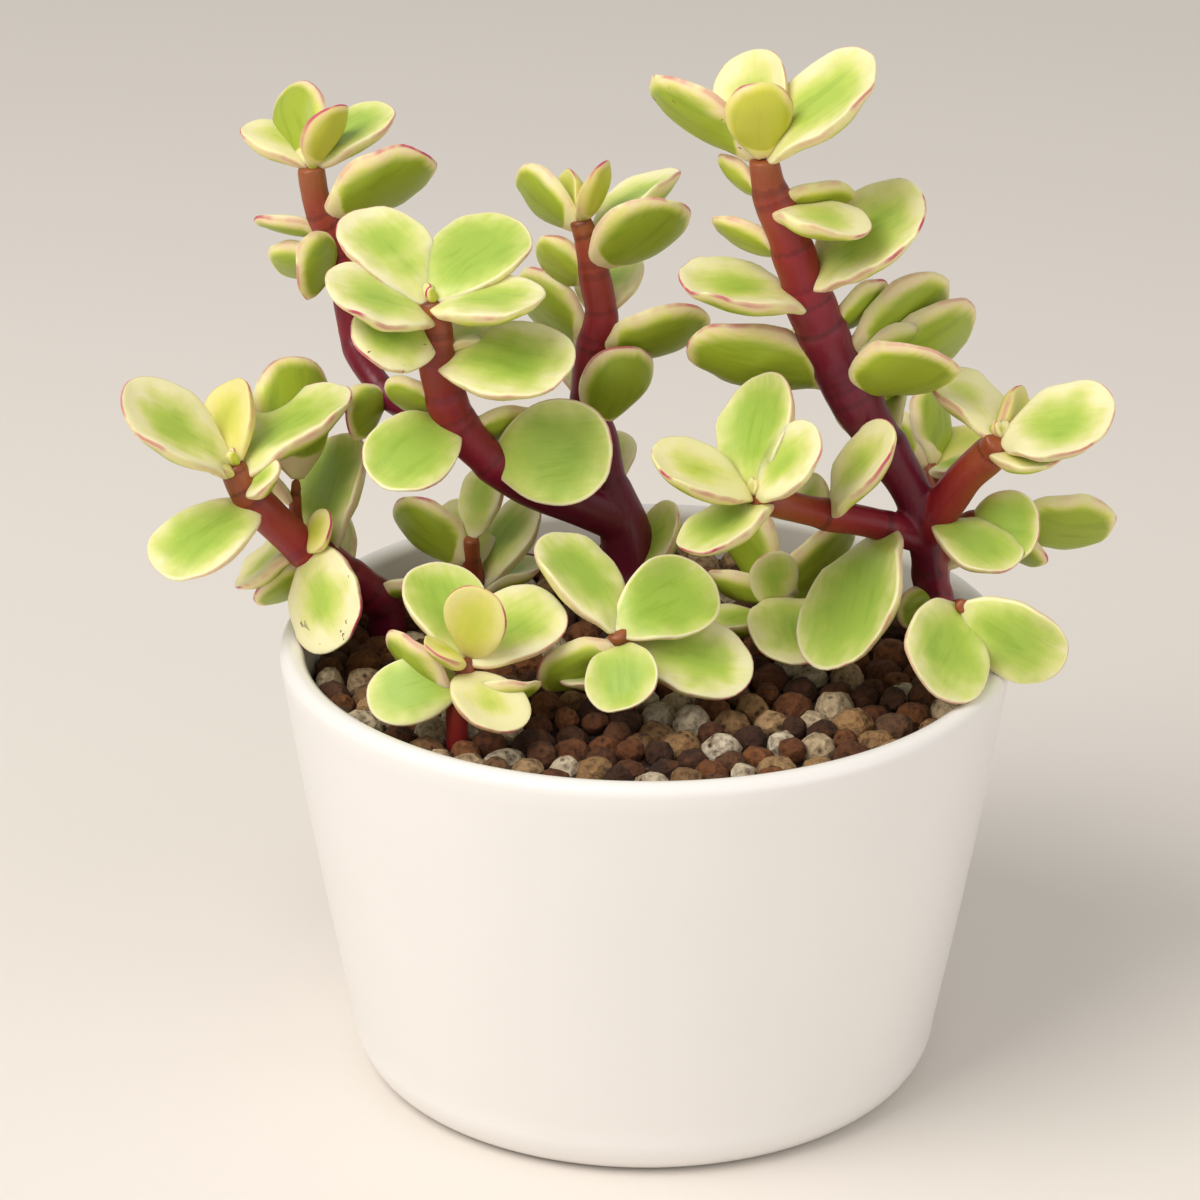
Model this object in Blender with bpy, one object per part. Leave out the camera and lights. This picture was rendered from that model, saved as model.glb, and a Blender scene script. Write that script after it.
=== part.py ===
"""A dwarf jade bonsai in a white ceramic pot, modelled piece by piece at real size.

Units below are millimetres and degrees. The origin is the centre of the pot's resting face, +Z is up
and -Y is the front. Each leafy stem is one solid, because a stem and its leaves grow as one piece.
"""

import math
import random

import bmesh
import bpy
from mathutils import Vector

MM = 0.001

# Driving dimensions of the pot
RIM_RADIUS = 50.0
POT_HEIGHT = 62.0
FOOT_RADIUS = 36.0
FOOT_ROUNDING = 6.3
WALL_FOOT_RADIUS = 40.8
WALL_BOW = 0.4
WALL_THICKNESS = 3.4
FLOOR_THICKNESS = 5.0
WALL_HEIGHTS = (20.0, 34.0, 48.0)
INNER_CORNER = 4.0
POT_SIDES = 48

# Driving dimensions of what fills the pot
SOIL_LEVEL = 53.7
GRAVEL_LEVEL = 56.2
GAP = 0.3
FILLING_GAP = 0.4
GRANULE_RADIUS = 3.7
GRANULE_ROOT = 1.2
GRANULE_RISE = 2.1
GRANULE_TOP = 0.72
GRANULE_SIDES = 5
GRANULE_SIZES = (0.92, 1.05)
GRANULE_TILT = 0.12
GRANULE_SKEW = 0.2
GRANULE_LEVELS = (-0.3, 0.2)
GRANULE_CLEARANCE = 1.12
GRANULE_EDGE = 0.55
GRANULE_PITCH = 7.8
GRANULE_SHIFT = 0.5
GRANULE_SEED = 7
STEM_DEPTH = 46.0
HOLE_SIDES = 12
HOLE_SPARE = 0.05
HOLE_OVERRUN = 8.0

# Driving dimensions of the plant
STEM_SIDES = 8
LEAF_THICKNESS = 2.5
LEAF_CUP = 0.18
LEAF_ARCH = 0.05
LEAF_NECK = 0.35
LEAF_FLAT = 0.5
# Thickness of a leaf's ends as a share of its middle, and how far the belly sits towards the base
LEAF_END = 0.55
LEAF_BELLY = 0.12
# A small leaf is a little thinner: a share of full thickness, and the length that adds one more
LEAF_YOUNG = 0.55
LEAF_GROWING = 40.0

# A leaf's outline: share of its length, and half its width as a share of the widest place
LEAF_SECTIONS = ((0.0, 0.18), (0.27, 0.74), (0.60, 1.0), (0.88, 0.80))

# The growth of each leafy stem. A shoot is the centre line of a stem, from its base up: x, y, z and
# thickness at each joint. Its leaves follow: the joint that a leaf grows from, where it points
# (azimuth from +X towards +Y, then lift above level), its length and width, and how far it is turned
# about its own midrib from facing along the stem. Leaves grow in opposite pairs, joint by joint.
RIGHT_STEM = (
    (
        ((39.5, 5, 46, 5.0), (39.5, 5, 58, 5.0), (40, 5, 63, 4.9), (39, 5, 68, 4.7), (38, 4, 74, 4.8),
         (36, 4, 81, 5.4), (32, 3, 88, 6.0), (28, 2, 95, 6.4), (25, 2, 101, 6.3), (22, 1, 108, 6.0),
         (20, 0, 114, 5.2), (18, -1, 120, 4.6), (16, -1, 125, 4.0), (15, -2, 130, 3.0)),
        ((13, 153, 21, 19, 13.5, 60), (13, 99, 49, 15.5, 11, -20), (13, -105, 69, 11.5, 9, -30),
         (13, -10, 39, 20.5, 14.5, 10), (12, 132, 7, 10, 7.5, 60), (11.9, 27, -11, 12.5, 9, -20),
         (11.6, -43, -6, 15, 11, -20), (9.6, -11, 36, 21, 15.5, 15), (10.5, 148, 4, 12.5, 9, 60),
         (9.2, -160, 11, 19.5, 14.5, -5), (8.6, 35, 15, 12, 9, -45), (7.8, 29, 23, 20, 15, -50),
         (7, 30, 21, 22, 16.5, -45), (7.7, 21, 11, 14.5, 10, -35), (7.7, 136, 13, 11, 7.5, 5),
         (7.5, 168, 3, 22.5, 15.5, 55), (7.3, -36, 24, 17.5, 13, -55), (6, 95, 20, 15, 11, 0),
         (2.6, -133, -16, 7.5, 5.5, 85), (3.2, 60, 12, 13, 9.5, 0)),
    ),
    (
        ((38, 4, 75, 4.6), (41, 2, 81, 4.8), (43, 0, 85, 4.4), (46, -2, 89, 4.0), (47, -4, 92, 3.4)),
        ((4, 125, 21, 14.5, 10, 10), (4, 65, 24, 9, 6.5, 55), (4, -31, 16, 18, 13.5, 5),
         (3, -45, 8, 12, 8.5, -5), (0.4, -47, -14, 15, 10.5, 15)),
    ),
    (
        ((38, 4, 74, 4.0), (31, 0, 78, 4.0), (24, -4, 81, 3.8), (18, -8, 84, 3.4), (14, -10, 86, 2.8)),
        ((2, -17, 52, 16.5, 11.5, -20), (4, 76, 49, 17.5, 13, 10), (4, -164, 23, 16, 12, 65),
         (4, -27, 44, 14.5, 10, -5), (3.4, -140, -17, 15.5, 11, -10), (0.8, -109, -38, 24, 18, -5),
         (2, 110, 5, 9, 6.5, 10)),
    ),
    (
        ((40, 5, 71, 3.4), (42, 4, 74, 3.2), (44, 4, 77, 3.0), (48, 4, 77, 2.4)),
        ((1.8, -36, 9, 12.5, 10, 90), (3, 13, -13, 17.5, 12, -100), (2.4, 5, -40, 11.5, 8, -40)),
    ),
    (
        ((40, 5, 62, 3.6), (42, -3, 67, 2.8), (42, -12, 71, 2.2)),
        ((2, -14, -27, 16, 11.5, 30), (1.6, -108, -15, 20, 13.5, -20)),
    ),
    (
        ((40, 5, 68, 3.6), (41, 14, 72, 3.2), (41, 21, 74, 2.9), (40, 25, 77, 2.4)),
        ((2.9, 45, 10, 13, 9, 55), (2.9, 130, 21, 12, 9, 25), (2.9, 81, 40, 13, 9.5, -25),
         (2.9, -44, 13, 10, 7.5, 40)),
    ),
)

CENTRE_STEM = (
    (
        ((-1, 18, 46, 8.6), (-1, 18, 60, 8.4), (-2, 18, 66, 8.0), (-3, 18, 71, 7.0), (-5, 19, 76, 5.6),
         (-6, 20, 82, 4.8), (-8, 21, 88, 4.4), (-7, 22, 96, 4.2), (-6, 22, 100, 4.0),
         (-7, 22, 106, 3.6), (-8, 22, 111, 2.8), (-9, 22, 114, 2.4)),
        ((10.6, 145, 24, 13, 9, 80), (10.8, 109, 39, 8.5, 6, -45), (10.8, -15, 68, 10, 7, -15),
         (9.2, -22, 38, 17, 12.5, -45), (10, 23, 28, 16.5, 12, -5), (8.9, 145, 11, 11, 7.5, 80),
         (7, 141, 21, 16, 11, 60), (6.8, 5, 13, 17.5, 12, -40), (5.4, -32, 61, 14, 10.5, -40),
         (1.6, -21, 52, 13, 9.5, 35), (8, 80, 15, 14, 10, 0), (6, 85, 10, 15, 11, 0),
         (4, 95, 15, 13, 9.5, 0)),
    ),
    (
        ((-3, 18, 71, 6.0), (-9, 14, 75, 5.4), (-16, 11, 79, 5.2), (-21, 8, 84, 5.0),
         (-25, 7, 89, 5.0), (-27, 6, 94, 4.8), (-28, 5, 100, 4.2), (-28, 5, 105, 3.2),
         (-29, 5, 108, 2.4)),
        ((8, 134, 29, 18, 12.5, 10), (8, 43, 24, 18, 13.5, 25), (7.7, -24, 7, 17, 12.5, 0),
         (7.1, -156, 22, 17.5, 13, -30), (6.5, -141, 10, 14.5, 10.5, -40), (5.9, -24, 1, 20.5, 15, 10),
         (6.2, 33, 8, 9, 6.5, 0), (5, 149, -11, 10, 7.5, 70), (4.3, -137, -21, 16, 12, -35),
         (3, -22, 15, 19.5, 14.5, 50), (4, 39, -10, 12, 9, -35), (6, 95, 15, 14, 10, 0)),
    ),
    (
        ((-26, 8, 91, 4.2), (-31, 16, 88, 3.8), (-36, 22, 89, 3.6), (-40, 26, 94, 3.6),
         (-41, 28, 100, 3.8), (-42, 30, 107, 4.4), (-45, 30, 113, 3.6), (-46, 30, 119, 3.0)),
        ((7, 113, 39, 14, 10.5, 130), (7, 141, 19, 12.5, 9, 5), (7, -29, 61, 11, 7.5, -15),
         (7, 37, 24, 15, 11, 5), (5.8, -2, 27, 18, 13.5, -45), (5.5, 153, -4, 12, 8.5, 35),
         (5.2, -111, -14, 12, 9, 65), (4.8, 148, -15, 13, 9, 35), (2, -118, -13, 10, 7.5, 50),
         (4, 56, 13, 11, 7.5, -50), (3, 75, 15, 14, 10, 0), (5, 85, 20, 13, 9.5, 0)),
    ),
)

LEFT_STEM = (
    (
        ((-36, 14, 46, 5.6), (-36, 14, 59, 5.4), (-38, 12, 63, 5.0), (-44, 9, 69, 4.8),
         (-47, 7, 72, 4.8), (-51, 5, 77, 4.5), (-54, 4, 81, 3.8), (-56, 4, 85, 2.8)),
        ((6.8, -160, 36, 20.5, 14.5, -45), (6.9, 93, 43, 13.5, 9.5, -10), (6.6, -159, 40, 9, 6.5, -35),
         (6.6, 38, 22, 20.5, 14.5, 10), (6, -41, 35, 8, 6, 20), (5.6, -135, -19, 18.5, 13, -25),
         (3.2, 75, 45, 19, 13.5, 0), (4, -38, 41, 8, 6, 15), (4, 153, -37, 12.5, 9, 10),
         (3.8, -67, -26, 18.5, 13, 8), (3, 176, -36, 12, 8.5, 65), (2, 12, 4, 10, 7, -45),
         (2.5, 110, 15, 13, 9.5, 0)),
    ),
    (
        ((-47, 7, 72, 2.8), (-48, 11, 75, 2.2), (-48, 14, 79, 1.6)),
        ((2, 84, 70, 17.5, 13, 30), (1.4, 150, 20, 13, 9.5, 0)),
    ),
)

FRONT_LEFT_SPRIG = (
    (
        ((-25, -22, 46, 3.6), (-25, -22, 60, 3.4), (-24, -21, 64, 3.0), (-24, -20, 67, 2.6)),
        ((2.9, 115, 34, 15.5, 11.5, -10), (3, -46, 68, 12.5, 9, 130), (2.8, 32, 20, 16, 12, 40),
         (2.9, -132, 28, 8, 6, -25), (2, -171, -10, 13.5, 9.5, -60), (2.5, -64, -19, 14, 10.5, 5),
         (1.4, 147, 24, 14, 10.5, 30), (1.6, -6, 4, 11, 8.5, -10)),
    ),
)

MIDDLE_LEFT_SPRIG = (
    (
        ((-23, 18, 46, 3.8), (-23, 18, 59, 3.4), (-24, 16, 65, 3.2), (-24, 15, 70, 2.6)),
        ((2.2, 162, 28, 14, 10.5, 75), (1.5, 19, 51, 15, 10.5, -5), (3, 61, 54, 11, 7.5, -15),
         (1.4, 8, 18, 10, 7.5, -20), (1.3, 150, 5, 10, 7.5, 10), (2, 95, 25, 13, 9.5, 0)),
    ),
)

FRONT_CENTRE_SPRIG = (
    (
        ((-3, -12, 46, 3.8), (-3, -12, 59, 3.6), (-3, -14, 65, 3.4), (-4, -16, 69, 3.0)),
        ((3, 130, 32, 17.5, 12, 35), (3, 38, 11, 16.5, 12, 25), (2.6, -84, -31, 12.5, 10, 5),
         (2.1, 3, -13, 18, 12.5, 5), (2.5, -170, -29, 12.5, 9, 85), (1.5, -158, 2, 10, 7.5, 5)),
    ),
)

RIGHT_MIDDLE_SPRIG = (
    (
        ((17, 6, 46, 4.0), (17, 6, 58, 3.6), (18, 6, 63, 3.0), (18, 6, 66, 2.6)),
        ((2, -121, 78, 10, 7, -135), (1.8, -140, 4, 12, 9, 10), (2.8, -80, -17, 16.5, 12, 0),
         (2, 45, 10, 11, 7.5, -80), (2.6, 153, 1, 11, 7.5, 45), (2.8, 127, 38, 16, 12, 85),
         (2.8, 30, 27, 15, 10.5, -65)),
    ),
)

STEMS = {
    "right_jade_stem": RIGHT_STEM,
    "centre_jade_stem": CENTRE_STEM,
    "left_jade_stem": LEFT_STEM,
    "front_left_sprig": FRONT_LEFT_SPRIG,
    "middle_left_sprig": MIDDLE_LEFT_SPRIG,
    "front_centre_sprig": FRONT_CENTRE_SPRIG,
    "right_middle_sprig": RIGHT_MIDDLE_SPRIG,
}


def clear_scene():
    for obj in list(bpy.data.objects):
        bpy.data.objects.remove(obj)


def material(name, colour, roughness):
    """A Principled material of one colour, given as 8-bit sRGB values."""
    made = bpy.data.materials.new(name)
    made.use_nodes = True
    shader = made.node_tree.nodes["Principled BSDF"]
    linear = [(channel / 255) ** 2.2 for channel in colour]
    shader.inputs["Base Color"].default_value = (*linear, 1)
    shader.inputs["Roughness"].default_value = roughness
    shader.inputs["Metallic"].default_value = 0
    return made


def object_from(name, bm, smooth=True):
    """A named object from a bmesh in millimetres."""
    bmesh.ops.recalc_face_normals(bm, faces=bm.faces)
    bmesh.ops.scale(bm, vec=(MM, MM, MM), verts=bm.verts)
    mesh = bpy.data.meshes.new(name)
    bm.to_mesh(mesh)
    bm.free()
    if smooth:
        mesh.shade_smooth()
    obj = bpy.data.objects.new(name, mesh)
    bpy.context.scene.collection.objects.link(obj)
    return obj


def skin(bm, rings, start=None, end=None):
    """Joins rings of vertices into a closed skin. An end is capped flat, or drawn to a point."""
    for low, high in zip(rings, rings[1:]):
        for i in range(len(low)):
            j = (i + 1) % len(low)
            bm.faces.new((low[i], low[j], high[j], high[i]))
    for ring, point in ((rings[0], start), (rings[-1], end)):
        if point is None:
            bm.faces.new(ring)
            continue
        tip = bm.verts.new(point)
        for i in range(len(ring)):
            bm.faces.new((ring[i], ring[(i + 1) % len(ring)], tip))


def turned(bm, profile, sides):
    """Turns a profile of (radius, height) pairs about the Z axis and caps both ends."""
    rings = []
    for radius, height in profile:
        rings.append([
            bm.verts.new((
                radius * math.cos(2 * math.pi * i / sides),
                radius * math.sin(2 * math.pi * i / sides),
                height,
            ))
            for i in range(sides)
        ])
    skin(bm, rings)


def wall_radius(height):
    """The pot's outer radius above its rounded foot: a straight taper with a slight bow."""
    share = (POT_HEIGHT - height) / (POT_HEIGHT - FOOT_ROUNDING)
    return RIM_RADIUS + (WALL_FOOT_RADIUS - RIM_RADIUS) * share + WALL_BOW * share * (1 - share) * 4


def inner_radius(height):
    return wall_radius(height) - WALL_THICKNESS


def pot_profile():
    """Up the outside, over the rounded lip and down the inside to the floor."""
    profile = []
    for step in range(4):
        angle = math.radians(30 * step)
        profile.append((
            FOOT_RADIUS + (WALL_FOOT_RADIUS - FOOT_RADIUS) * math.sin(angle),
            FOOT_ROUNDING * (1 - math.cos(angle)),
        ))
    lip = WALL_THICKNESS / 2
    for height in (*WALL_HEIGHTS, POT_HEIGHT - lip):
        profile.append((wall_radius(height), height))
    for angle in (45, 90, 135):
        turn = math.radians(angle)
        profile.append((
            RIM_RADIUS - lip + lip * math.cos(turn),
            POT_HEIGHT - lip + lip * math.sin(turn),
        ))
    corner = FLOOR_THICKNESS + INNER_CORNER
    for height in (POT_HEIGHT - lip, WALL_HEIGHTS[1], corner):
        profile.append((inner_radius(height), height))
    profile.append((inner_radius(corner) - INNER_CORNER, FLOOR_THICKNESS))
    return profile


def make_pot():
    bm = bmesh.new()
    turned(bm, pot_profile(), POT_SIDES)
    return object_from("pot", bm)


def filling_profile(low, high):
    """A body that lies inside the pot's wall with a small gap, between two heights."""
    corner = FLOOR_THICKNESS + INNER_CORNER
    heights = [low] + [h for h in (corner, WALL_HEIGHTS[1]) if low < h < high] + [high]
    return [(inner_radius(max(height, corner)) - FILLING_GAP, height) for height in heights]


def make_soil():
    bm = bmesh.new()
    profile = filling_profile(FLOOR_THICKNESS + GAP, SOIL_LEVEL)
    profile[0] = (profile[0][0] - INNER_CORNER - GAP, profile[0][1])
    turned(bm, profile, POT_SIDES)
    return object_from("potting_mix", bm)


def granule(centre, draw):
    """One baked-clay granule: a five-sided lump, rooted in the bed, with a tilted top."""
    bm = bmesh.new()
    start = draw.uniform(0, math.tau)
    size = GRANULE_RADIUS * draw.uniform(*GRANULE_SIZES)
    tilt = draw.uniform(-GRANULE_TILT, GRANULE_TILT)
    rings = []
    for share, height in ((1.0, -GRANULE_ROOT), (GRANULE_TOP, GRANULE_RISE)):
        ring = []
        for i in range(GRANULE_SIDES):
            skew = draw.uniform(-GRANULE_SKEW, GRANULE_SKEW)
            angle = start + math.tau * (i + skew) / GRANULE_SIDES
            reach = size * share * draw.uniform(*GRANULE_SIZES)
            x = reach * math.cos(angle)
            ring.append(bm.verts.new(centre + Vector((x, reach * math.sin(angle), height + x * tilt))))
        rings.append(ring)
    skin(bm, rings)
    return object_from("granule", bm, smooth=False)


def granule_places(draw):
    """Places on a shaken hexagonal grid that fill the pot's mouth."""
    reach = inner_radius(GRAVEL_LEVEL) - GAP - GRANULE_RADIUS * GRANULE_CLEARANCE
    rows = int(reach / GRANULE_PITCH) + 2
    row_pitch = GRANULE_PITCH * math.sqrt(3) / 2
    for row in range(-rows, rows + 1):
        for column in range(-rows, rows + 1):
            x = (column + 0.5 * (row % 2)) * GRANULE_PITCH + draw.uniform(-GRANULE_SHIFT, GRANULE_SHIFT)
            y = row * row_pitch + draw.uniform(-GRANULE_SHIFT, GRANULE_SHIFT)
            distance = math.hypot(x, y)
            if distance > reach + GRANULE_PITCH * GRANULE_EDGE:
                continue
            pull = min(1, reach / max(distance, 1))
            level = GRAVEL_LEVEL + draw.uniform(*GRANULE_LEVELS)
            yield Vector((x * pull, y * pull, level))


def make_gravel():
    """The top dressing: a bed with the granules fused to it."""
    draw = random.Random(GRANULE_SEED)
    bm = bmesh.new()
    turned(bm, filling_profile(SOIL_LEVEL + GAP, GRAVEL_LEVEL), POT_SIDES)
    bed = object_from("gravel_top_dressing", bm)
    combine(bed, [granule(place, draw) for place in granule_places(draw)], "UNION")
    return bed


def combine(body, others, operation):
    """Fuses other objects with a body, or cuts them from it, and removes them."""
    group = bpy.data.collections.new("combining")
    bpy.context.scene.collection.children.link(group)
    for other in others:
        group.objects.link(other)
    step = body.modifiers.new("combine", "BOOLEAN")
    step.operation = operation
    step.operand_type = "COLLECTION"
    step.collection = group
    step.solver = "MANIFOLD"
    graph = bpy.context.evaluated_depsgraph_get()
    made = bpy.data.meshes.new_from_object(body.evaluated_get(graph))
    body.modifiers.remove(step)
    body.data = made
    for other in others:
        bpy.data.objects.remove(other)
    bpy.data.collections.remove(group)


def direction(azimuth, lift):
    around = math.radians(azimuth)
    up = math.radians(lift)
    return Vector((math.cos(around) * math.cos(up), math.sin(around) * math.cos(up), math.sin(up)))


def across(line, hint):
    """The unit vector nearest to the hint that is square to the line."""
    return (hint - line * hint.dot(line)).normalized()


def along(path, joint):
    """The place on a shoot's centre line at a joint number, and the line's direction there."""
    last = len(path) - 2
    index = min(int(joint), last)
    start = Vector(path[index][:3])
    end = Vector(path[index + 1][:3])
    return start.lerp(end, joint - index), (end - start).normalized()


def tube(path):
    """A tapered tube along a shoot's centre line."""
    bm = bmesh.new()
    places = [Vector(row[:3]) for row in path]
    normal = Vector((0, -1, 0))
    rings = []
    for i, row in enumerate(path):
        before = places[max(i - 1, 0)]
        after = places[min(i + 1, len(places) - 1)]
        line = (after - before).normalized()
        normal = across(line, normal)
        side = line.cross(normal)
        radius = row[3] / 2
        rings.append([
            bm.verts.new(
                places[i]
                + normal * radius * math.cos(math.tau * k / STEM_SIDES)
                + side * radius * math.sin(math.tau * k / STEM_SIDES)
            )
            for k in range(STEM_SIDES)
        ])
    skin(bm, rings)
    return object_from("stem", bm)


def leaf(base, stem_line, row):
    """A thick spoon-shaped leaf: flat or slightly hollow above, rounded below, blunt at its tip."""
    joint, azimuth, lift, length, width, turn = row
    line = direction(azimuth, lift)
    upright = across(line, stem_line)
    sideways = line.cross(upright)
    angle = math.radians(turn)
    face = upright * math.cos(angle) + sideways * math.sin(angle)
    side = line.cross(face)
    rise = width / 2 * LEAF_CUP
    thick = LEAF_THICKNESS * min(1, LEAF_YOUNG + length / LEAF_GROWING)
    bm = bmesh.new()
    rings = []
    for share, spread in LEAF_SECTIONS:
        middle = base + line * length * share + face * length * LEAF_ARCH * math.sin(math.pi * share)
        reach = width / 2 * spread
        margin = rise * min(1, share / LEAF_NECK)
        belly = math.sin(math.pi * min(share + LEAF_BELLY, 1))
        deep = thick * (LEAF_END + (1 - LEAF_END) * belly)
        section = (
            (reach, margin),
            (reach * LEAF_FLAT, 0.0),
            (-reach * LEAF_FLAT, 0.0),
            (-reach, margin),
            (-reach * LEAF_FLAT, -deep),
            (reach * LEAF_FLAT, -deep),
        )
        rings.append([bm.verts.new(middle + side * a + face * b) for a, b in section])
    skin(bm, rings, end=base + line * length + face * rise)
    return object_from("leaf", bm)


def make_stem(name, shoots):
    """One leafy stem: its shoots and leaves fused into one solid."""
    pieces = []
    for path, leaves in shoots:
        pieces.append(tube(path))
        for row in leaves:
            base, line = along(path, row[0])
            pieces.append(leaf(base, line, row))
    stem = pieces.pop(0)
    stem.name = name
    combine(stem, pieces, "UNION")
    return stem


def hole_cutter(path):
    """A plain round cutter for the hole that a stem stands in."""
    x, y, low, thickness = path[0]
    bm = bmesh.new()
    radius = (max(thickness, path[1][3]) / 2 + GAP) / math.cos(math.pi / HOLE_SIDES) + HOLE_SPARE
    bottom = STEM_DEPTH - GAP
    top = POT_HEIGHT + HOLE_OVERRUN
    bmesh.ops.create_cone(
        bm, cap_ends=True, segments=HOLE_SIDES, radius1=radius, radius2=radius, depth=top - bottom
    )
    bmesh.ops.translate(bm, vec=(x, y, (top + bottom) / 2), verts=bm.verts)
    return object_from("hole", bm)


def main():
    clear_scene()
    plant = bpy.data.objects.new("dwarf_jade_bonsai", None)
    bpy.context.scene.collection.objects.link(plant)
    pot = make_pot()
    soil = make_soil()
    gravel = make_gravel()
    for filling in (soil, gravel):
        combine(filling, [hole_cutter(shoots[0][0]) for shoots in STEMS.values()], "DIFFERENCE")
    pot.data.materials.append(material("white satin glaze", (242, 234, 230), 0.35))
    soil.data.materials.append(material("dark potting mix", (58, 42, 32), 0.95))
    gravel.data.materials.append(material("baked clay granules", (107, 61, 28), 0.9))
    made = [pot, soil, gravel]
    for name, shoots in STEMS.items():
        stem = make_stem(name, shoots)
        stem.data.materials.clear()
        stem.data.materials.append(material(name + " green", (169, 198, 79), 0.4))
        made.append(stem)
    for obj in made:
        obj.parent = plant


main()
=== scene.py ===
"""The finished surfaces of a dwarf jade bonsai in a white pot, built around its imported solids.

Lengths in the code are metres unless a name says millimetres. The pot stands on the origin, +Z is up
and -Y is the front.
"""

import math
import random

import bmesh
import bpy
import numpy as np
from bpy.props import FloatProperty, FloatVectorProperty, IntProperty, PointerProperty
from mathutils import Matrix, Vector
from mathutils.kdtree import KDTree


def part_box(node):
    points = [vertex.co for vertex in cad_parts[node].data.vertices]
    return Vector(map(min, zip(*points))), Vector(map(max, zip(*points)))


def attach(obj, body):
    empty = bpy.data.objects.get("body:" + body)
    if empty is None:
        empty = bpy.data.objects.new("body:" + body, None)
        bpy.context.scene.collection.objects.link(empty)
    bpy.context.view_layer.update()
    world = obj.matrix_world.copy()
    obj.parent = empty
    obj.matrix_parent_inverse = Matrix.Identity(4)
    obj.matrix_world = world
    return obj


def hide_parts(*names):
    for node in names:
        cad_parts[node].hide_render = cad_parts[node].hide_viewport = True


bl_info = {
    "name": "Dwarf Jade Bonsai",
    "version": (1, 0, 0),
    "blender": (4, 5, 0),
    "location": "3D View > Sidebar > Bonsai",
    "description": "Builds the finished surfaces of a potted dwarf jade bonsai around its solids",
    "category": "Add Mesh",
}

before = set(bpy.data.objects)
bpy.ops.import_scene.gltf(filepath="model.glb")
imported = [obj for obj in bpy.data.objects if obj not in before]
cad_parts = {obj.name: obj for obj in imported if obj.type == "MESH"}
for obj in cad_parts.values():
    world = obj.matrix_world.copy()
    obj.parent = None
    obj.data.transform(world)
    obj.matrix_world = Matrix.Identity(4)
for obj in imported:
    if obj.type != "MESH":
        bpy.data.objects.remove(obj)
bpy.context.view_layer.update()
POT_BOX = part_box("pot")
MM = 0.001
SAME_PLACE = 1e-6    # points closer than this are one point
NEVER_ZERO = 1e-9    # added to a distance that is divided by
LONG_SHOOT = 5       # a shoot with this many joints or more has a bud pair at its tip

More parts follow.
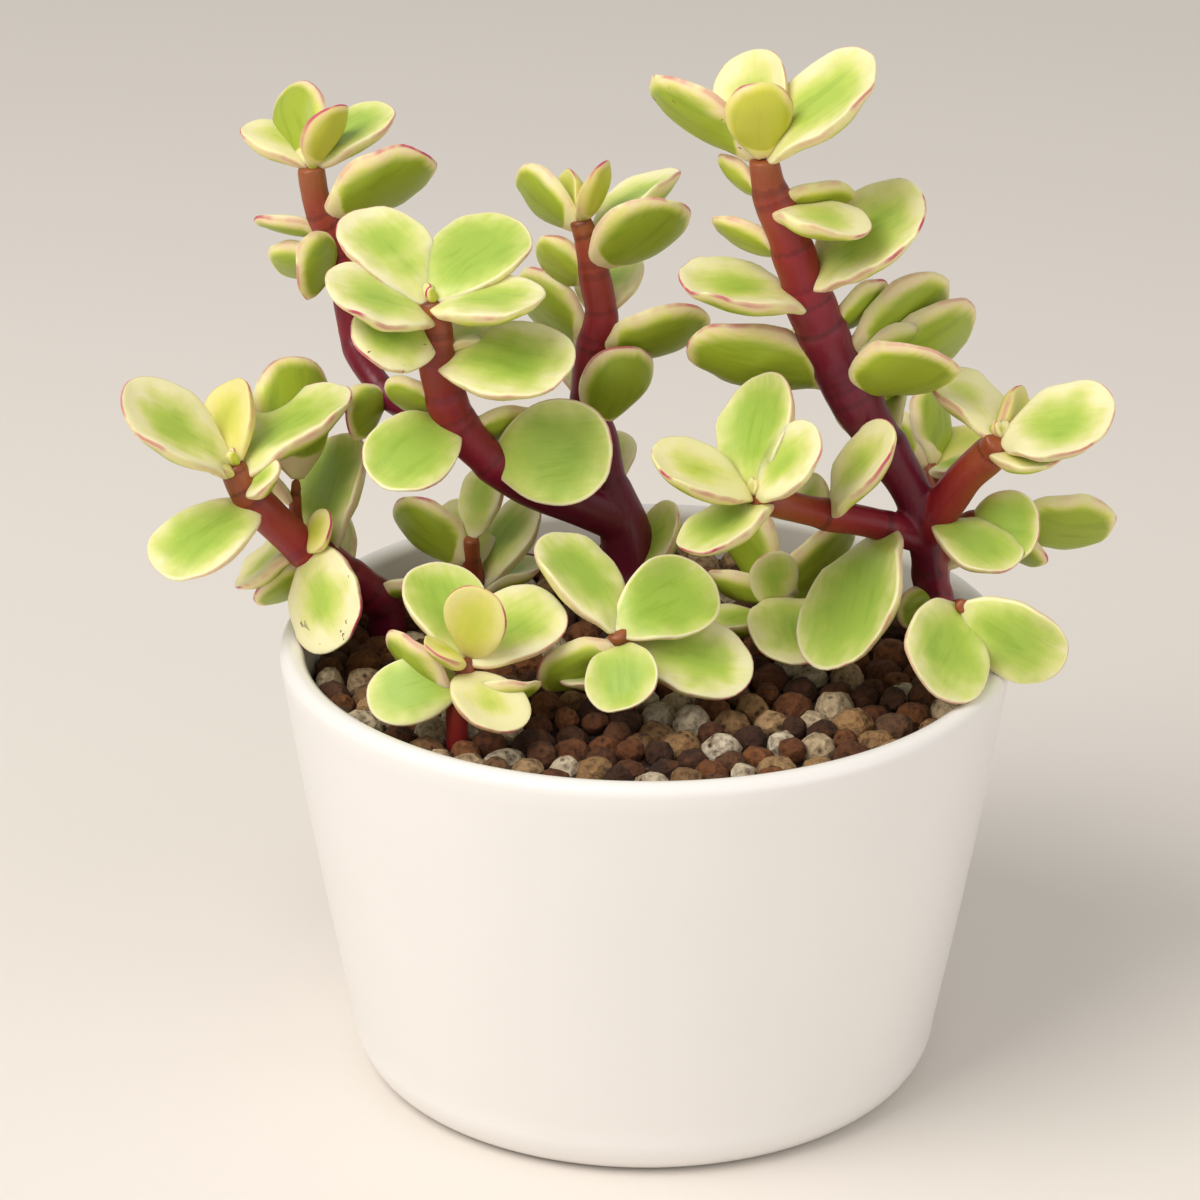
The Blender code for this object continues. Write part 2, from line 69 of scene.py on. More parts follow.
# The growth of each leafy stem, in millimetres and degrees. A shoot is the centre line of a stem, from
# its base up: x, y, z and thickness at each joint. Its leaves follow: the joint that a leaf grows from,
# where it points (azimuth, then lift), its length and width, how far it is turned about its midrib,
# and its habit.
GROWTH = {
    "right_jade_stem": (
        (((39.5, 5, 46, 5), (39.5, 5, 58, 5), (40, 5, 63, 4.9), (39, 5, 68, 4.7), (38, 4, 74, 4.8),
          (36, 4, 81, 5.4), (32, 3, 88, 6), (28, 2, 95, 6.4), (25, 2, 101, 6.3), (22, 1, 108, 6),
          (20, 0, 114, 5.2), (18, -1, 120, 4.6), (16, -1, 125, 4), (15, -2, 130, 3)),
         ((13, 153, 21, 19, 13.5, 60, "scarred"), (13, 99, 49, 15.5, 11, -20, "pale"),
          (13, -105, 69, 11.5, 9, -30, "young"), (13, -10, 39, 20.5, 14.5, 10),
          (12, 132, 7, 10, 7.5, 60, "pale"), (11.9, 27, -11, 12.5, 9, -20, "pale"),
          (11.6, -43, -6, 15, 11, -20, "pale"), (9.6, -11, 36, 21, 15.5, 15),
          (10.5, 148, 4, 12.5, 9, 60, "pale"), (9.2, -160, 11, 19.5, 14.5, -5), (8.6, 35, 15, 12, 9, -45),
          (7.8, 29, 23, 20, 15, -50), (7, 30, 21, 22, 16.5, -45), (7.7, 21, 11, 14.5, 10, -35),
          (7.7, 136, 13, 11, 7.5, 5, "pale"), (7.5, 168, 3, 22.5, 15.5, 55),
          (7.3, -36, 24, 17.5, 13, -55), (6, 95, 20, 15, 11, 0), (2.6, -133, -16, 7.5, 5.5, 85),
          (3.2, 60, 12, 13, 9.5, 0))),
        (((38, 4, 75, 4.6), (41, 2, 81, 4.8), (43, 0, 85, 4.4), (46, -2, 89, 4), (47, -4, 92, 3.4)),
         ((4, 125, 21, 14.5, 10, 10, "pale"), (4, 65, 24, 9, 6.5, 55, "young"), (4, -31, 16, 18, 13.5, 5),
          (3, -45, 8, 12, 8.5, -5, "pale"), (0.4, -47, -14, 15, 10.5, 15, "green"))),
        (((38, 4, 74, 4), (31, 0, 78, 4), (24, -4, 81, 3.8), (18, -8, 84, 3.4), (14, -10, 86, 2.8)),
         ((2, -17, 52, 16.5, 11.5, -20, "pale"), (4, 76, 49, 17.5, 13, 10, "green"),
          (4, -164, 23, 16, 12, 65, "pale"), (4, -27, 44, 14.5, 10, -5), (3.4, -140, -17, 15.5, 11, -10),
          (0.8, -109, -38, 24, 18, -5, "green"), (2, 110, 5, 9, 6.5, 10, "pale"))),
        (((40, 5, 71, 3.4), (42, 4, 74, 3.2), (44, 4, 77, 3), (48, 4, 77, 2.4)),
         ((1.8, -36, 9, 12.5, 10, 90, "green"), (3, 13, -13, 17.5, 12, -100),
          (2.4, 5, -40, 11.5, 8, -40))),
        (((40, 5, 62, 3.6), (42, -3, 67, 2.8), (42, -12, 71, 2.2)),
         ((2, -14, -27, 16, 11.5, 30, "green"), (1.6, -108, -15, 20, 13.5, -20, "green"))),
        (((40, 5, 68, 3.6), (41, 14, 72, 3.2), (41, 21, 74, 2.9), (40, 25, 77, 2.4)),
         ((2.9, 45, 10, 13, 9, 55, "young"), (2.9, 130, 21, 12, 9, 25, "green"),
          (2.9, 81, 40, 13, 9.5, -25), (2.9, -44, 13, 10, 7.5, 40))),
    ),
    "centre_jade_stem": (
        (((-1, 18, 46, 8.6), (-1, 18, 60, 8.4), (-2, 18, 66, 8), (-3, 18, 71, 7), (-5, 19, 76, 5.6),
          (-6, 20, 82, 4.8), (-8, 21, 88, 4.4), (-7, 22, 96, 4.2), (-6, 22, 100, 4), (-7, 22, 106, 3.6),
          (-8, 22, 111, 2.8), (-9, 22, 114, 2.4)),
         ((10.6, 145, 24, 13, 9, 80), (10.8, 109, 39, 8.5, 6, -45, "young"),
          (10.8, -15, 68, 10, 7, -15, "young"), (9.2, -22, 38, 17, 12.5, -45), (10, 23, 28, 16.5, 12, -5),
          (8.9, 145, 11, 11, 7.5, 80, "pale"), (7, 141, 21, 16, 11, 60), (6.8, 5, 13, 17.5, 12, -40),
          (5.4, -32, 61, 14, 10.5, -40), (1.6, -21, 52, 13, 9.5, 35), (8, 80, 15, 14, 10, 0),
          (6, 85, 10, 15, 11, 0), (4, 95, 15, 13, 9.5, 0))),
        (((-3, 18, 71, 6), (-9, 14, 75, 5.4), (-16, 11, 79, 5.2), (-21, 8, 84, 5), (-25, 7, 89, 5),
          (-27, 6, 94, 4.8), (-28, 5, 100, 4.2), (-28, 5, 105, 3.2), (-29, 5, 108, 2.4)),
         ((8, 134, 29, 18, 12.5, 10), (8, 43, 24, 18, 13.5, 25, "green"), (7.7, -24, 7, 17, 12.5, 0),
          (7.1, -156, 22, 17.5, 13, -30), (6.5, -141, 10, 14.5, 10.5, -40, "scarred"),
          (5.9, -24, 1, 20.5, 15, 10), (6.2, 33, 8, 9, 6.5, 0, "pale"),
          (5, 149, -11, 10, 7.5, 70, "green"), (4.3, -137, -21, 16, 12, -35, "green"),
          (3, -22, 15, 19.5, 14.5, 50, "green"), (4, 39, -10, 12, 9, -35), (6, 95, 15, 14, 10, 0))),
        (((-26, 8, 91, 4.2), (-31, 16, 88, 3.8), (-36, 22, 89, 3.6), (-40, 26, 94, 3.6),
          (-41, 28, 100, 3.8), (-42, 30, 107, 4.4), (-45, 30, 113, 3.6), (-46, 30, 119, 3)),
         ((7, 113, 39, 14, 10.5, 130), (7, 141, 19, 12.5, 9, 5, "pale"),
          (7, -29, 61, 11, 7.5, -15, "young"), (7, 37, 24, 15, 11, 5, "green"),
          (5.8, -2, 27, 18, 13.5, -45), (5.5, 153, -4, 12, 8.5, 35), (5.2, -111, -14, 12, 9, 65),
          (4.8, 148, -15, 13, 9, 35), (2, -118, -13, 10, 7.5, 50), (4, 56, 13, 11, 7.5, -50),
          (3, 75, 15, 14, 10, 0), (5, 85, 20, 13, 9.5, 0))),
    ),
    "left_jade_stem": (
        (((-36, 14, 46, 5.6), (-36, 14, 59, 5.4), (-38, 12, 63, 5), (-44, 9, 69, 4.8), (-47, 7, 72, 4.8),
          (-51, 5, 77, 4.5), (-54, 4, 81, 3.8), (-56, 4, 85, 2.8)),
         ((6.8, -160, 36, 20.5, 14.5, -45), (6.9, 93, 43, 13.5, 9.5, -10, "young"),
          (6.6, -159, 40, 9, 6.5, -35, "young"), (6.6, 38, 22, 20.5, 14.5, 10), (6, -41, 35, 8, 6, 20),
          (5.6, -135, -19, 18.5, 13, -25, "green"), (3.2, 75, 45, 19, 13.5, 0, "green"),
          (4, -38, 41, 8, 6, 15, "young"), (4, 153, -37, 12.5, 9, 10, "pale"),
          (3.8, -67, -26, 18.5, 13, 8, "scarred"), (3, 176, -36, 12, 8.5, 65), (2, 12, 4, 10, 7, -45),
          (2.5, 110, 15, 13, 9.5, 0))),
        (((-47, 7, 72, 2.8), (-48, 11, 75, 2.2), (-48, 14, 79, 1.6)),
         ((2, 84, 70, 17.5, 13, 30, "green"), (1.4, 150, 20, 13, 9.5, 0))),
    ),
    "front_left_sprig": (
        (((-25, -22, 46, 3.6), (-25, -22, 60, 3.4), (-24, -21, 64, 3), (-24, -20, 67, 2.6)),
         ((2.9, 115, 34, 15.5, 11.5, -10, "green"), (3, -46, 68, 12.5, 9, 130, "young"),
          (2.8, 32, 20, 16, 12, 40), (2.9, -132, 28, 8, 6, -25, "young"),
          (2, -171, -10, 13.5, 9.5, -60, "green"), (2.5, -64, -19, 14, 10.5, 5, "pale"),
          (1.4, 147, 24, 14, 10.5, 30), (1.6, -6, 4, 11, 8.5, -10))),
    ),
    "middle_left_sprig": (
        (((-23, 18, 46, 3.8), (-23, 18, 59, 3.4), (-24, 16, 65, 3.2), (-24, 15, 70, 2.6)),
         ((2.2, 162, 28, 14, 10.5, 75), (1.5, 19, 51, 15, 10.5, -5), (3, 61, 54, 11, 7.5, -15),
          (1.4, 8, 18, 10, 7.5, -20), (1.3, 150, 5, 10, 7.5, 10), (2, 95, 25, 13, 9.5, 0))),
    ),
    "front_centre_sprig": (
        (((-3, -12, 46, 3.8), (-3, -12, 59, 3.6), (-3, -14, 65, 3.4), (-4, -16, 69, 3)),
         ((3, 130, 32, 17.5, 12, 35, "green"), (3, 38, 11, 16.5, 12, 25, "green"),
          (2.6, -84, -31, 12.5, 10, 5, "green"), (2.1, 3, -13, 18, 12.5, 5),
          (2.5, -170, -29, 12.5, 9, 85, "green"), (1.5, -158, 2, 10, 7.5, 5))),
    ),
    "right_middle_sprig": (
        (((17, 6, 46, 4), (17, 6, 58, 3.6), (18, 6, 63, 3), (18, 6, 66, 2.6)),
         ((2, -121, 78, 10, 7, -135), (1.8, -140, 4, 12, 9, 10), (2.8, -80, -17, 16.5, 12, 0),
          (2, 45, 10, 11, 7.5, -80), (2.6, 153, 1, 11, 7.5, 45), (2.8, 127, 38, 16, 12, 85),
          (2.8, 30, 27, 15, 10.5, -65))),
    ),
}

# A leaf's habit: where its pale margin starts (share of the way out), how green and how young it is,
# how far its rim has blushed, and how scarred it is
HABITS = {
    "variegated": (0.68, 0.45, 0.0, 0.85, 0.0),
    "scarred": (0.64, 0.55, 0.0, 0.9, 1.0),
    "green": (0.88, 0.9, 0.0, 0.65, 0.0),
    "pale": (0.42, 0.25, 0.2, 0.85, 0.0),
    "young": (0.62, 0.25, 0.85, 1.0, 0.0),
    "bud": (0.2, 0.0, 0.5, 1.6, 0.0),
}


def tone(code):
    """The linear colour of an sRGB hex code."""
    channels = [int(code[i:i + 2], 16) / 255 for i in (1, 3, 5)]
    linear = [c / 12.92 if c <= 0.04045 else ((c + 0.055) / 1.055) ** 2.4 for c in channels]
    return (*linear, 1.0)


class PotSettings(bpy.types.PropertyGroup):
    rim_radius: FloatProperty(
        name="Rim radius", description="Outer radius of the wall where it meets the lip",
        default=0.05, unit="LENGTH",
    )
    height: FloatProperty(
        name="Height", description="Height of the pot",
        default=POT_BOX[1][2], unit="LENGTH",
    )
    foot_radius: FloatProperty(
        name="Foot radius", description="Radius of the flat that the pot stands on",
        default=0.036, unit="LENGTH",
    )
    wall_foot_radius: FloatProperty(
        name="Wall foot radius", description="Outer radius where the wall leaves the rounded foot",
        default=0.0408, unit="LENGTH",
    )
    foot_rounding: FloatProperty(
        name="Foot rounding", description="Height of the rounded foot",
        default=0.0063, unit="LENGTH",
    )
    wall: FloatProperty(
        name="Wall thickness", description="Thickness of the wall and twice the radius of the lip",
        default=0.0034, unit="LENGTH",
    )
    floor: FloatProperty(
        name="Floor thickness", description="Thickness of the pot's floor",
        default=0.005, unit="LENGTH",
    )
    sides: IntProperty(
        name="Sides", description="Number of facets round the turned pot", default=160, min=24,
    )
    glaze: FloatVectorProperty(
        name="Glaze", description="Colour of the satin glaze", subtype="COLOR", size=4,
        default=tone("#f4f1ee"), min=0, max=1,
    )


class DressingSettings(bpy.types.PropertyGroup):
    top: FloatProperty(
        name="Top", description="Height of the tops of the granules", default=0.0583, unit="LENGTH",
    )
    bed: FloatProperty(
        name="Bed", description="Height of the bed under the granules", default=0.0562, unit="LENGTH",
    )
    smallest: FloatProperty(
        name="Smallest", description="Radius of the smallest granule", default=0.0016, unit="LENGTH",
    )
    largest: FloatProperty(
        name="Largest", description="Radius of the largest granule", default=0.0033, unit="LENGTH",
    )
    seed: IntProperty(name="Seed", description="Seed of the scatter of granules", default=11)


class PlantSettings(bpy.types.PropertyGroup):
    leaf_thickness: FloatProperty(
        name="Leaf thickness", description="Thickness of a full-grown leaf",
        default=0.003, unit="LENGTH",
    )
    leaf_fit: FloatProperty(
        name="Leaf fit", description="Length as a share of the solid's, which the waved tip stays in",
        default=0.97, min=0.5, max=1,
    )
    leaf_cup: FloatProperty(
        name="Leaf hollow", description="Rise of the margin as a share of half the width",
        default=0.18, min=0, max=1,
    )
    leaf_arch: FloatProperty(
        name="Leaf arch", description="Rise of the middle as a share of the length",
        default=0.05, min=-0.5, max=0.5,
    )
    leaf_wave: FloatProperty(
        name="Leaf wave", description="How far a leaf's margin waves", default=0.0006, unit="LENGTH",
    )
    seed: IntProperty(name="Seed", description="Seed of what differs leaf by leaf", default=5)


class StageSettings(bpy.types.PropertyGroup):
    distance: FloatProperty(
        name="Camera distance", description="From the camera to the point it looks at",
        default=0.6, unit="LENGTH",
    )
    elevation: FloatProperty(
        name="Camera elevation", description="Height of the camera above the horizon",
        default=math.radians(22.6), subtype="ANGLE",
    )
    target: FloatVectorProperty(
        name="Target", description="The point that the camera looks at", subtype="XYZ", size=3,
        default=(-0.0062, 0.0, 0.0669),
    )
    lens: FloatProperty(
        name="Lens", description="Focal length on a 36 mm sensor, in millimetres", default=132.6,
    )
    floor: FloatVectorProperty(
        name="Floor", description="Colour of the floor", subtype="COLOR", size=4,
        default=tone("#e9e3dc"), min=0, max=1,
    )
    key: FloatProperty(
        name="Key light", description="Power of the large soft light, in watts", default=6.3,
    )


def add(tree, kind, inputs=(), **settings):
    """Adds one node with its settings. Each input is a value, a node or a (node, output name) pair."""
    node = tree.nodes.new(kind)
    for name, value in settings.items():
        setattr(node, name, value)
    for key, value in dict(inputs).items():
        if isinstance(key, int):
            socket = node.inputs[key]
        else:
            socket = next(s for s in node.inputs if s.name == key and s.enabled)
        if isinstance(value, bpy.types.Node):
            tree.links.new(next(s for s in value.outputs if s.enabled), socket)
        elif isinstance(value, tuple) and isinstance(value[0], bpy.types.Node):
            tree.links.new(next(s for s in value[0].outputs if s.name == value[1] and s.enabled), socket)
        else:
            socket.default_value = value
    return node


def ramp(node, *stops):
    """Sets the stops of a colour ramp, each a place and a colour."""
    elements = node.color_ramp.elements
    while len(elements) < len(stops):
        elements.new(1.0)
    for element, (place, colour) in zip(elements, stops):
        element.position = place
        element.color = tone(colour)
    return node


def surface(name):
    """A new material and its tree, with nothing in it."""
    material = bpy.data.materials.new(name)
    material.use_nodes = True
    material.node_tree.nodes.clear()
    return material, material.node_tree


def tinted(tree, colour, *layers):
    """Lays tints over a colour, each a hex code and the factors whose product is its strength."""
    for code, strength, *factors in layers:
        for factor in factors:
            strength = add(tree, "ShaderNodeMath", {0: strength, 1: factor}, operation="MULTIPLY")
        colour = add(
            tree, "ShaderNodeMix", {"Factor": strength, "A": colour, "B": tone(code)}, data_type="RGBA"
        )
    return colour


def satin_glazed_stoneware(glaze):
    """White stoneware, dipped and fired to a satin glaze: smooth, with a soft broad highlight."""
    material, tree = surface("satin_glazed_stoneware")
    place = (add(tree, "ShaderNodeTexCoord"), "Object")
    # The glaze pools thicker every 20 mm or so, and ripples every 6 mm
    pool = add(tree, "ShaderNodeTexNoise", {"Vector": place, "Scale": 55, "Detail": 3})
    thin = tuple(0.965 * c for c in glaze[:3]) + (1.0,)
    tint = add(
        tree, "ShaderNodeMix", {"Factor": pool, "A": thin, "B": tuple(glaze)}, data_type="RGBA"
    )
    gloss = add(tree, "ShaderNodeMapRange", {"Value": pool, "To Min": 0.26, "To Max": 0.36})
    ripple = add(tree, "ShaderNodeTexNoise", {"Vector": place, "Scale": 160, "Detail": 2})
    bump = add(tree, "ShaderNodeBump", {"Height": ripple, "Strength": 0.12, "Distance": 0.0004})
    shader = add(
        tree, "ShaderNodeBsdfPrincipled",
        {"Base Color": tint, "Roughness": gloss, "Normal": bump, "IOR": 1.5,
         "Coat Weight": 0.25, "Coat Roughness": 0.18},
    )
    add(tree, "ShaderNodeOutputMaterial", {"Surface": shader})
    return material


def peat_potting_mix():
    """Sieved peat and bark fines: crumbly, dark and dead matt."""
    material, tree = surface("peat_potting_mix")
    place = (add(tree, "ShaderNodeTexCoord"), "Object")
    # Crumbs are about 1.4 mm across, and their grain about 1.1 mm
    crumb = add(tree, "ShaderNodeTexVoronoi", {"Vector": place, "Scale": 700})
    grain = add(tree, "ShaderNodeTexNoise", {"Vector": place, "Scale": 900, "Detail": 6})
    colour = ramp(
        add(tree, "ShaderNodeValToRGB", {"Fac": grain}),
        (0.3, "#17100b"), (0.55, "#33241a"), (0.8, "#5a4534"),
    )
    bump = add(tree, "ShaderNodeBump", {"Height": crumb, "Strength": 0.8, "Distance": 0.0006})
    shader = add(
        tree, "ShaderNodeBsdfPrincipled", {"Base Color": colour, "Roughness": 0.95, "Normal": bump}
    )
    add(tree, "ShaderNodeOutputMaterial", {"Surface": shader})
    return material


def baked_clay_granules():
    """Low-fired akadama and pumice grit: open, dusty and matt, in browns, rust and cream."""
    material, tree = surface("baked_clay_granules")
    place = (add(tree, "ShaderNodeTexCoord"), "Object")
    kind = add(tree, "ShaderNodeAttribute", attribute_name="kind")
    body = ramp(
        add(tree, "ShaderNodeValToRGB", {"Fac": (kind, "Fac")}),
        (0.0, "#3c2214"), (0.18, "#5a341c"), (0.34, "#774624"), (0.50, "#935c32"),
        (0.60, "#654430"), (0.70, "#b8905f"), (0.82, "#dcc6a2"), (1.0, "#efe2ca"),
    )
    # The grit is about 1.1 mm across, and the blotches about 3 mm
    grit = add(
        tree, "ShaderNodeTexNoise", {"Vector": place, "Scale": 900, "Detail": 6, "Roughness": 0.65}
    )
    blotch = add(tree, "ShaderNodeTexNoise", {"Vector": place, "Scale": 330, "Detail": 3})
    shade = ramp(
        add(tree, "ShaderNodeValToRGB", {"Fac": grit}),
        (0.30, "#6f655c"), (0.5, "#e0dcd8"), (0.72, "#ffffff"),
    )
    speckled = add(
        tree, "ShaderNodeMix", {"Factor": 0.85, "A": body, "B": shade},
        data_type="RGBA", blend_type="MULTIPLY",
    )
    rust = add(tree, "ShaderNodeMapRange", {"Value": blotch, "From Min": 0.58, "From Max": 0.78})
    # Open pores, about 1 mm across, gather in patches; the dark brown laid into them is painted shade
    # inside the pores
    pits = add(tree, "ShaderNodeTexVoronoi", {"Vector": place, "Scale": 780})
    pore_shade = add(
        tree, "ShaderNodeMapRange",
        {"Value": pits, "From Min": 0.16, "From Max": 0.42, "To Min": 0.9, "To Max": 0.0},
    )
    open_side = add(tree, "ShaderNodeMapRange", {"Value": blotch, "From Min": 0.46, "From Max": 0.60})
    # The dark brown over the pores is painted shade, not the grit's own colour
    colour = tinted(tree, speckled, ("#7a4a26", rust), ("#2b190e", pore_shade, open_side))
    relief = add(tree, "ShaderNodeMath", {0: grit, 1: pits}, operation="ADD")
    bump = add(tree, "ShaderNodeBump", {"Height": relief, "Strength": 0.9, "Distance": 0.0009})
    shader = add(
        tree, "ShaderNodeBsdfPrincipled", {"Base Color": colour, "Roughness": 0.88, "Normal": bump}
    )
    add(tree, "ShaderNodeOutputMaterial", {"Surface": shader})
    return material


def woody_stem_skin():
    """The thin skin of a succulent stem: smooth, wine red, rusty brown where it is young."""
    material, tree = surface("woody_stem_skin")
    place = (add(tree, "ShaderNodeTexCoord"), "Object")
    youth, crease = (
        (add(tree, "ShaderNodeAttribute", attribute_name=name), "Fac") for name in ("youth", "crease")
    )
    # The mottle is about 4 mm across
    mottle = add(tree, "ShaderNodeTexNoise", {"Vector": place, "Scale": 260, "Detail": 4})
    wander = add(tree, "ShaderNodeMapRange", {"Value": mottle, "To Min": -0.16, "To Max": 0.16})
    stage = add(tree, "ShaderNodeMath", {0: youth, 1: wander}, operation="ADD")
    skin = ramp(
        add(tree, "ShaderNodeValToRGB", {"Fac": stage}),
        (0.0, "#6a132e"), (0.3, "#81162c"), (0.6, "#911f29"), (0.82, "#933826"), (1.0, "#98552f"),
    )
    creased = tinted(tree, skin, ("#430f10", crease, 0.55))
    # The grain is 0.7 mm wide and runs up the stems
    stretch = add(tree, "ShaderNodeMapping", {"Vector": place, "Scale": (1, 1, 0.18)})
    grain = add(tree, "ShaderNodeTexNoise", {"Vector": stretch, "Scale": 1500, "Detail": 3})
    bump = add(tree, "ShaderNodeBump", {"Height": grain, "Strength": 0.25, "Distance": 0.0003})
    gloss = add(tree, "ShaderNodeMapRange", {"Value": mottle, "To Min": 0.30, "To Max": 0.46})
    shader = add(
        tree, "ShaderNodeBsdfPrincipled",
        {"Base Color": creased, "Roughness": gloss, "Normal": bump, "IOR": 1.45,
         "Subsurface Weight": 0.08, "Subsurface Radius": (1.0, 0.3, 0.2),
         "Subsurface Scale": 0.0012},
    )
    add(tree, "ShaderNodeOutputMaterial", {"Surface": shader})
    return material


def waxy_variegated_leaf():
    """A jade leaf: a thick waxy skin over watery flesh, so it glows softly and shines broadly."""
    material, tree = surface("waxy_variegated_leaf")
    blade, place, habit = (
        (add(tree, "ShaderNodeAttribute", attribute_name=name), "Vector")
        for name in ("blade", "place", "habit")
    )
    blush, scars, under = (
        (add(tree, "ShaderNodeAttribute", attribute_name=name), "Fac")
        for name in ("blush", "scars", "under")
    )
    parts = add(tree, "ShaderNodeSeparateXYZ", {"Vector": blade})
    traits = add(tree, "ShaderNodeSeparateXYZ", {"Vector": habit})
    rim, way_out = (parts, "Z"), (parts, "Y")
    # Streaks run the length of the leaf, about 1 mm apart, and the tone drifts every 4 mm
    lengthways = add(tree, "ShaderNodeMapping", {"Vector": place, "Scale": (1.0, 0.14, 1.0)})
    streak = add(
        tree, "ShaderNodeTexNoise",
        {"Vector": lengthways, "Scale": 0.75, "Detail": 3, "Roughness": 0.55},
    )
    drift = add(tree, "ShaderNodeTexNoise", {"Vector": place, "Scale": 0.24, "Detail": 2})
    warp = add(tree, "ShaderNodeMapRange", {"Value": streak, "To Min": -0.26, "To Max": 0.26})
    swell = add(tree, "ShaderNodeMapRange", {"Value": drift, "To Min": -0.36, "To Max": 0.36})
    reach = rim
    for shift in (warp, swell):
        reach = add(tree, "ShaderNodeMath", {0: reach, 1: shift}, operation="ADD")
    inner, outer = (
        add(tree, "ShaderNodeMath", {0: (traits, "X"), 1: shift}, operation="ADD")
        for shift in (-0.52, 0.26)
    )
    pale = add(tree, "ShaderNodeMapRange", {"Value": reach, "From Min": inner, "From Max": outer})
    neck = add(
        tree, "ShaderNodeMapRange",
        {"Value": way_out, "From Min": 0.03, "From Max": 0.26, "To Min": 0.72, "To Max": 0.0},
        interpolation_type="SMOOTHSTEP",
    )
    lip = add(
        tree, "ShaderNodeMapRange", {"Value": rim, "From Min": 0.86, "From Max": 0.98},
        interpolation_type="SMOOTHSTEP",
    )
    for paler in (neck, lip):
        pale = add(tree, "ShaderNodeMath", {0: pale, 1: paler}, operation="MAXIMUM")
    # The upper face goes from green by way of lime to the cream of its margin
    face = ramp(
        add(tree, "ShaderNodeValToRGB", {"Fac": pale}),
        (0.0, "#b2ca56"), (0.25, "#c0d35f"), (0.5, "#d5dd7b"), (0.75, "#e8e69c"), (1.0, "#f2ecbc"),
    )
    inside = add(tree, "ShaderNodeMath", {0: 1.0, 1: pale}, operation="SUBTRACT")
    vein = add(
        tree, "ShaderNodeMapRange",
        {"Value": streak, "From Min": 0.50, "From Max": 0.64, "To Min": 0.0, "To Max": 0.55},
    )
    upper = tinted(tree, face, ("#9fc04e", inside, (traits, "Y"), 0.7), ("#8fb23c", vein, inside))
    # The underside is olive and darker than the upper face, partly its own colour and partly painted shade
    # on the side turned from the light, with a wavy border against the pale bevel that runs round the edge
    ragged = add(tree, "ShaderNodeMath", {0: warp, 1: 0.42}, operation="MULTIPLY")
    waved = rim
    for shift in (ragged, neck):
        waved = add(tree, "ShaderNodeMath", {0: waved, 1: shift}, operation="ADD")
    bevel = add(tree, "ShaderNodeMapRange", {"Value": waved, "From Min": 0.78, "From Max": 0.96})
    underside_olive_and_shade = ramp(
        add(tree, "ShaderNodeValToRGB", {"Fac": bevel}),
        (0.0, "#a2b333"), (0.30, "#b2c040"), (0.52, "#cad256"), (0.74, "#e2df80"), (1.0, "#eee4a8"),
    )
    beneath = add(tree, "ShaderNodeMath", {0: 1.0, 1: bevel}, operation="SUBTRACT")
    lower = tinted(tree, underside_olive_and_shade, ("#8a9f28", vein, beneath))
    # The underside's darker olive mixed in here is partly painted shade
    sides = add(tree, "ShaderNodeMix", {"Factor": under, "A": upper, "B": lower}, data_type="RGBA")
    # The bevel is faintly lilac in places, and a thin blush runs along the rim towards the tip
    patchy = add(tree, "ShaderNodeMapRange", {"Value": drift, "From Min": 0.38, "From Max": 0.58})
    edge = add(
        tree, "ShaderNodeMapRange", {"Value": rim, "From Min": 0.968, "From Max": 0.995},
        interpolation_type="SMOOTHSTEP",
    )
    towards_tip = add(
        tree, "ShaderNodeMapRange",
        {"Value": way_out, "From Min": 0.5, "From Max": 0.9, "To Min": 0.34, "To Max": 1.0},
    )
    # Old scratches have healed to brown cork
    scratched = add(tree, "ShaderNodeMapping", {"Vector": place, "Scale": (1.0, 0.5, 1.0)})
    nick = add(tree, "ShaderNodeTexNoise", {"Vector": scratched, "Scale": 0.85, "Detail": 3})
    spots = add(tree, "ShaderNodeMapRange", {"Value": nick, "From Min": 0.67, "From Max": 0.69})
    near_rim = add(tree, "ShaderNodeMapRange", {"Value": rim, "From Min": 0.5, "From Max": 0.8})
    # Young leaves are yellow on both sides, under the lilac, the blush and the scars
    marked = tinted(
        tree, sides,
        ("#dcd052", (traits, "Z"), 0.62),
        ("#efc6b6", bevel, under, patchy, 0.42),
        ("#c04a68", edge, towards_tip, patchy, blush),
        ("#5a3a1c", spots, near_rim, scars),
    )
    pores = add(tree, "ShaderNodeTexNoise", {"Vector": place, "Scale": 2.6, "Detail": 3})
    bump = add(tree, "ShaderNodeBump", {"Height": pores, "Strength": 0.10, "Distance": 0.0003})
    shader = add(
        tree, "ShaderNodeBsdfPrincipled",
        {"Base Color": marked, "Roughness": 0.40, "Normal": bump, "IOR": 1.43,
         "Subsurface Weight": 0.30, "Subsurface Radius": (1.0, 0.9, 0.35),
         "Subsurface Scale": 0.0016},
    )
    add(tree, "ShaderNodeOutputMaterial", {"Surface": shader})
    return material


def new_tree(name, sockets):
    """A Geometry Nodes tree with its group input. Sockets are (name, type, default) rows."""
    tree = bpy.data.node_groups.new(name, "GeometryNodeTree")
    tree.interface.new_socket(name="Geometry", in_out="INPUT", socket_type="NodeSocketGeometry")
    tree.interface.new_socket(name="Geometry", in_out="OUTPUT", socket_type="NodeSocketGeometry")
    for label, kind, default in sockets:
        socket = tree.interface.new_socket(name=label, in_out="INPUT", socket_type=kind)
        if default is not None:
            socket.default_value = default
    return tree, tree.nodes.new("NodeGroupInput")


def close_tree(tree, geometry, source):
    """Ends a tree: instances made real, then smooth shading and the material."""
    real = add(tree, "GeometryNodeRealizeInstances", {"Geometry": geometry})
    smooth = add(tree, "GeometryNodeSetShadeSmooth", {"Geometry": real})
    finish = add(
        tree, "GeometryNodeSetMaterial", {"Geometry": smooth, "Material": (source, "Material")}
    )
    add(tree, "NodeGroupOutput", {"Geometry": finish})


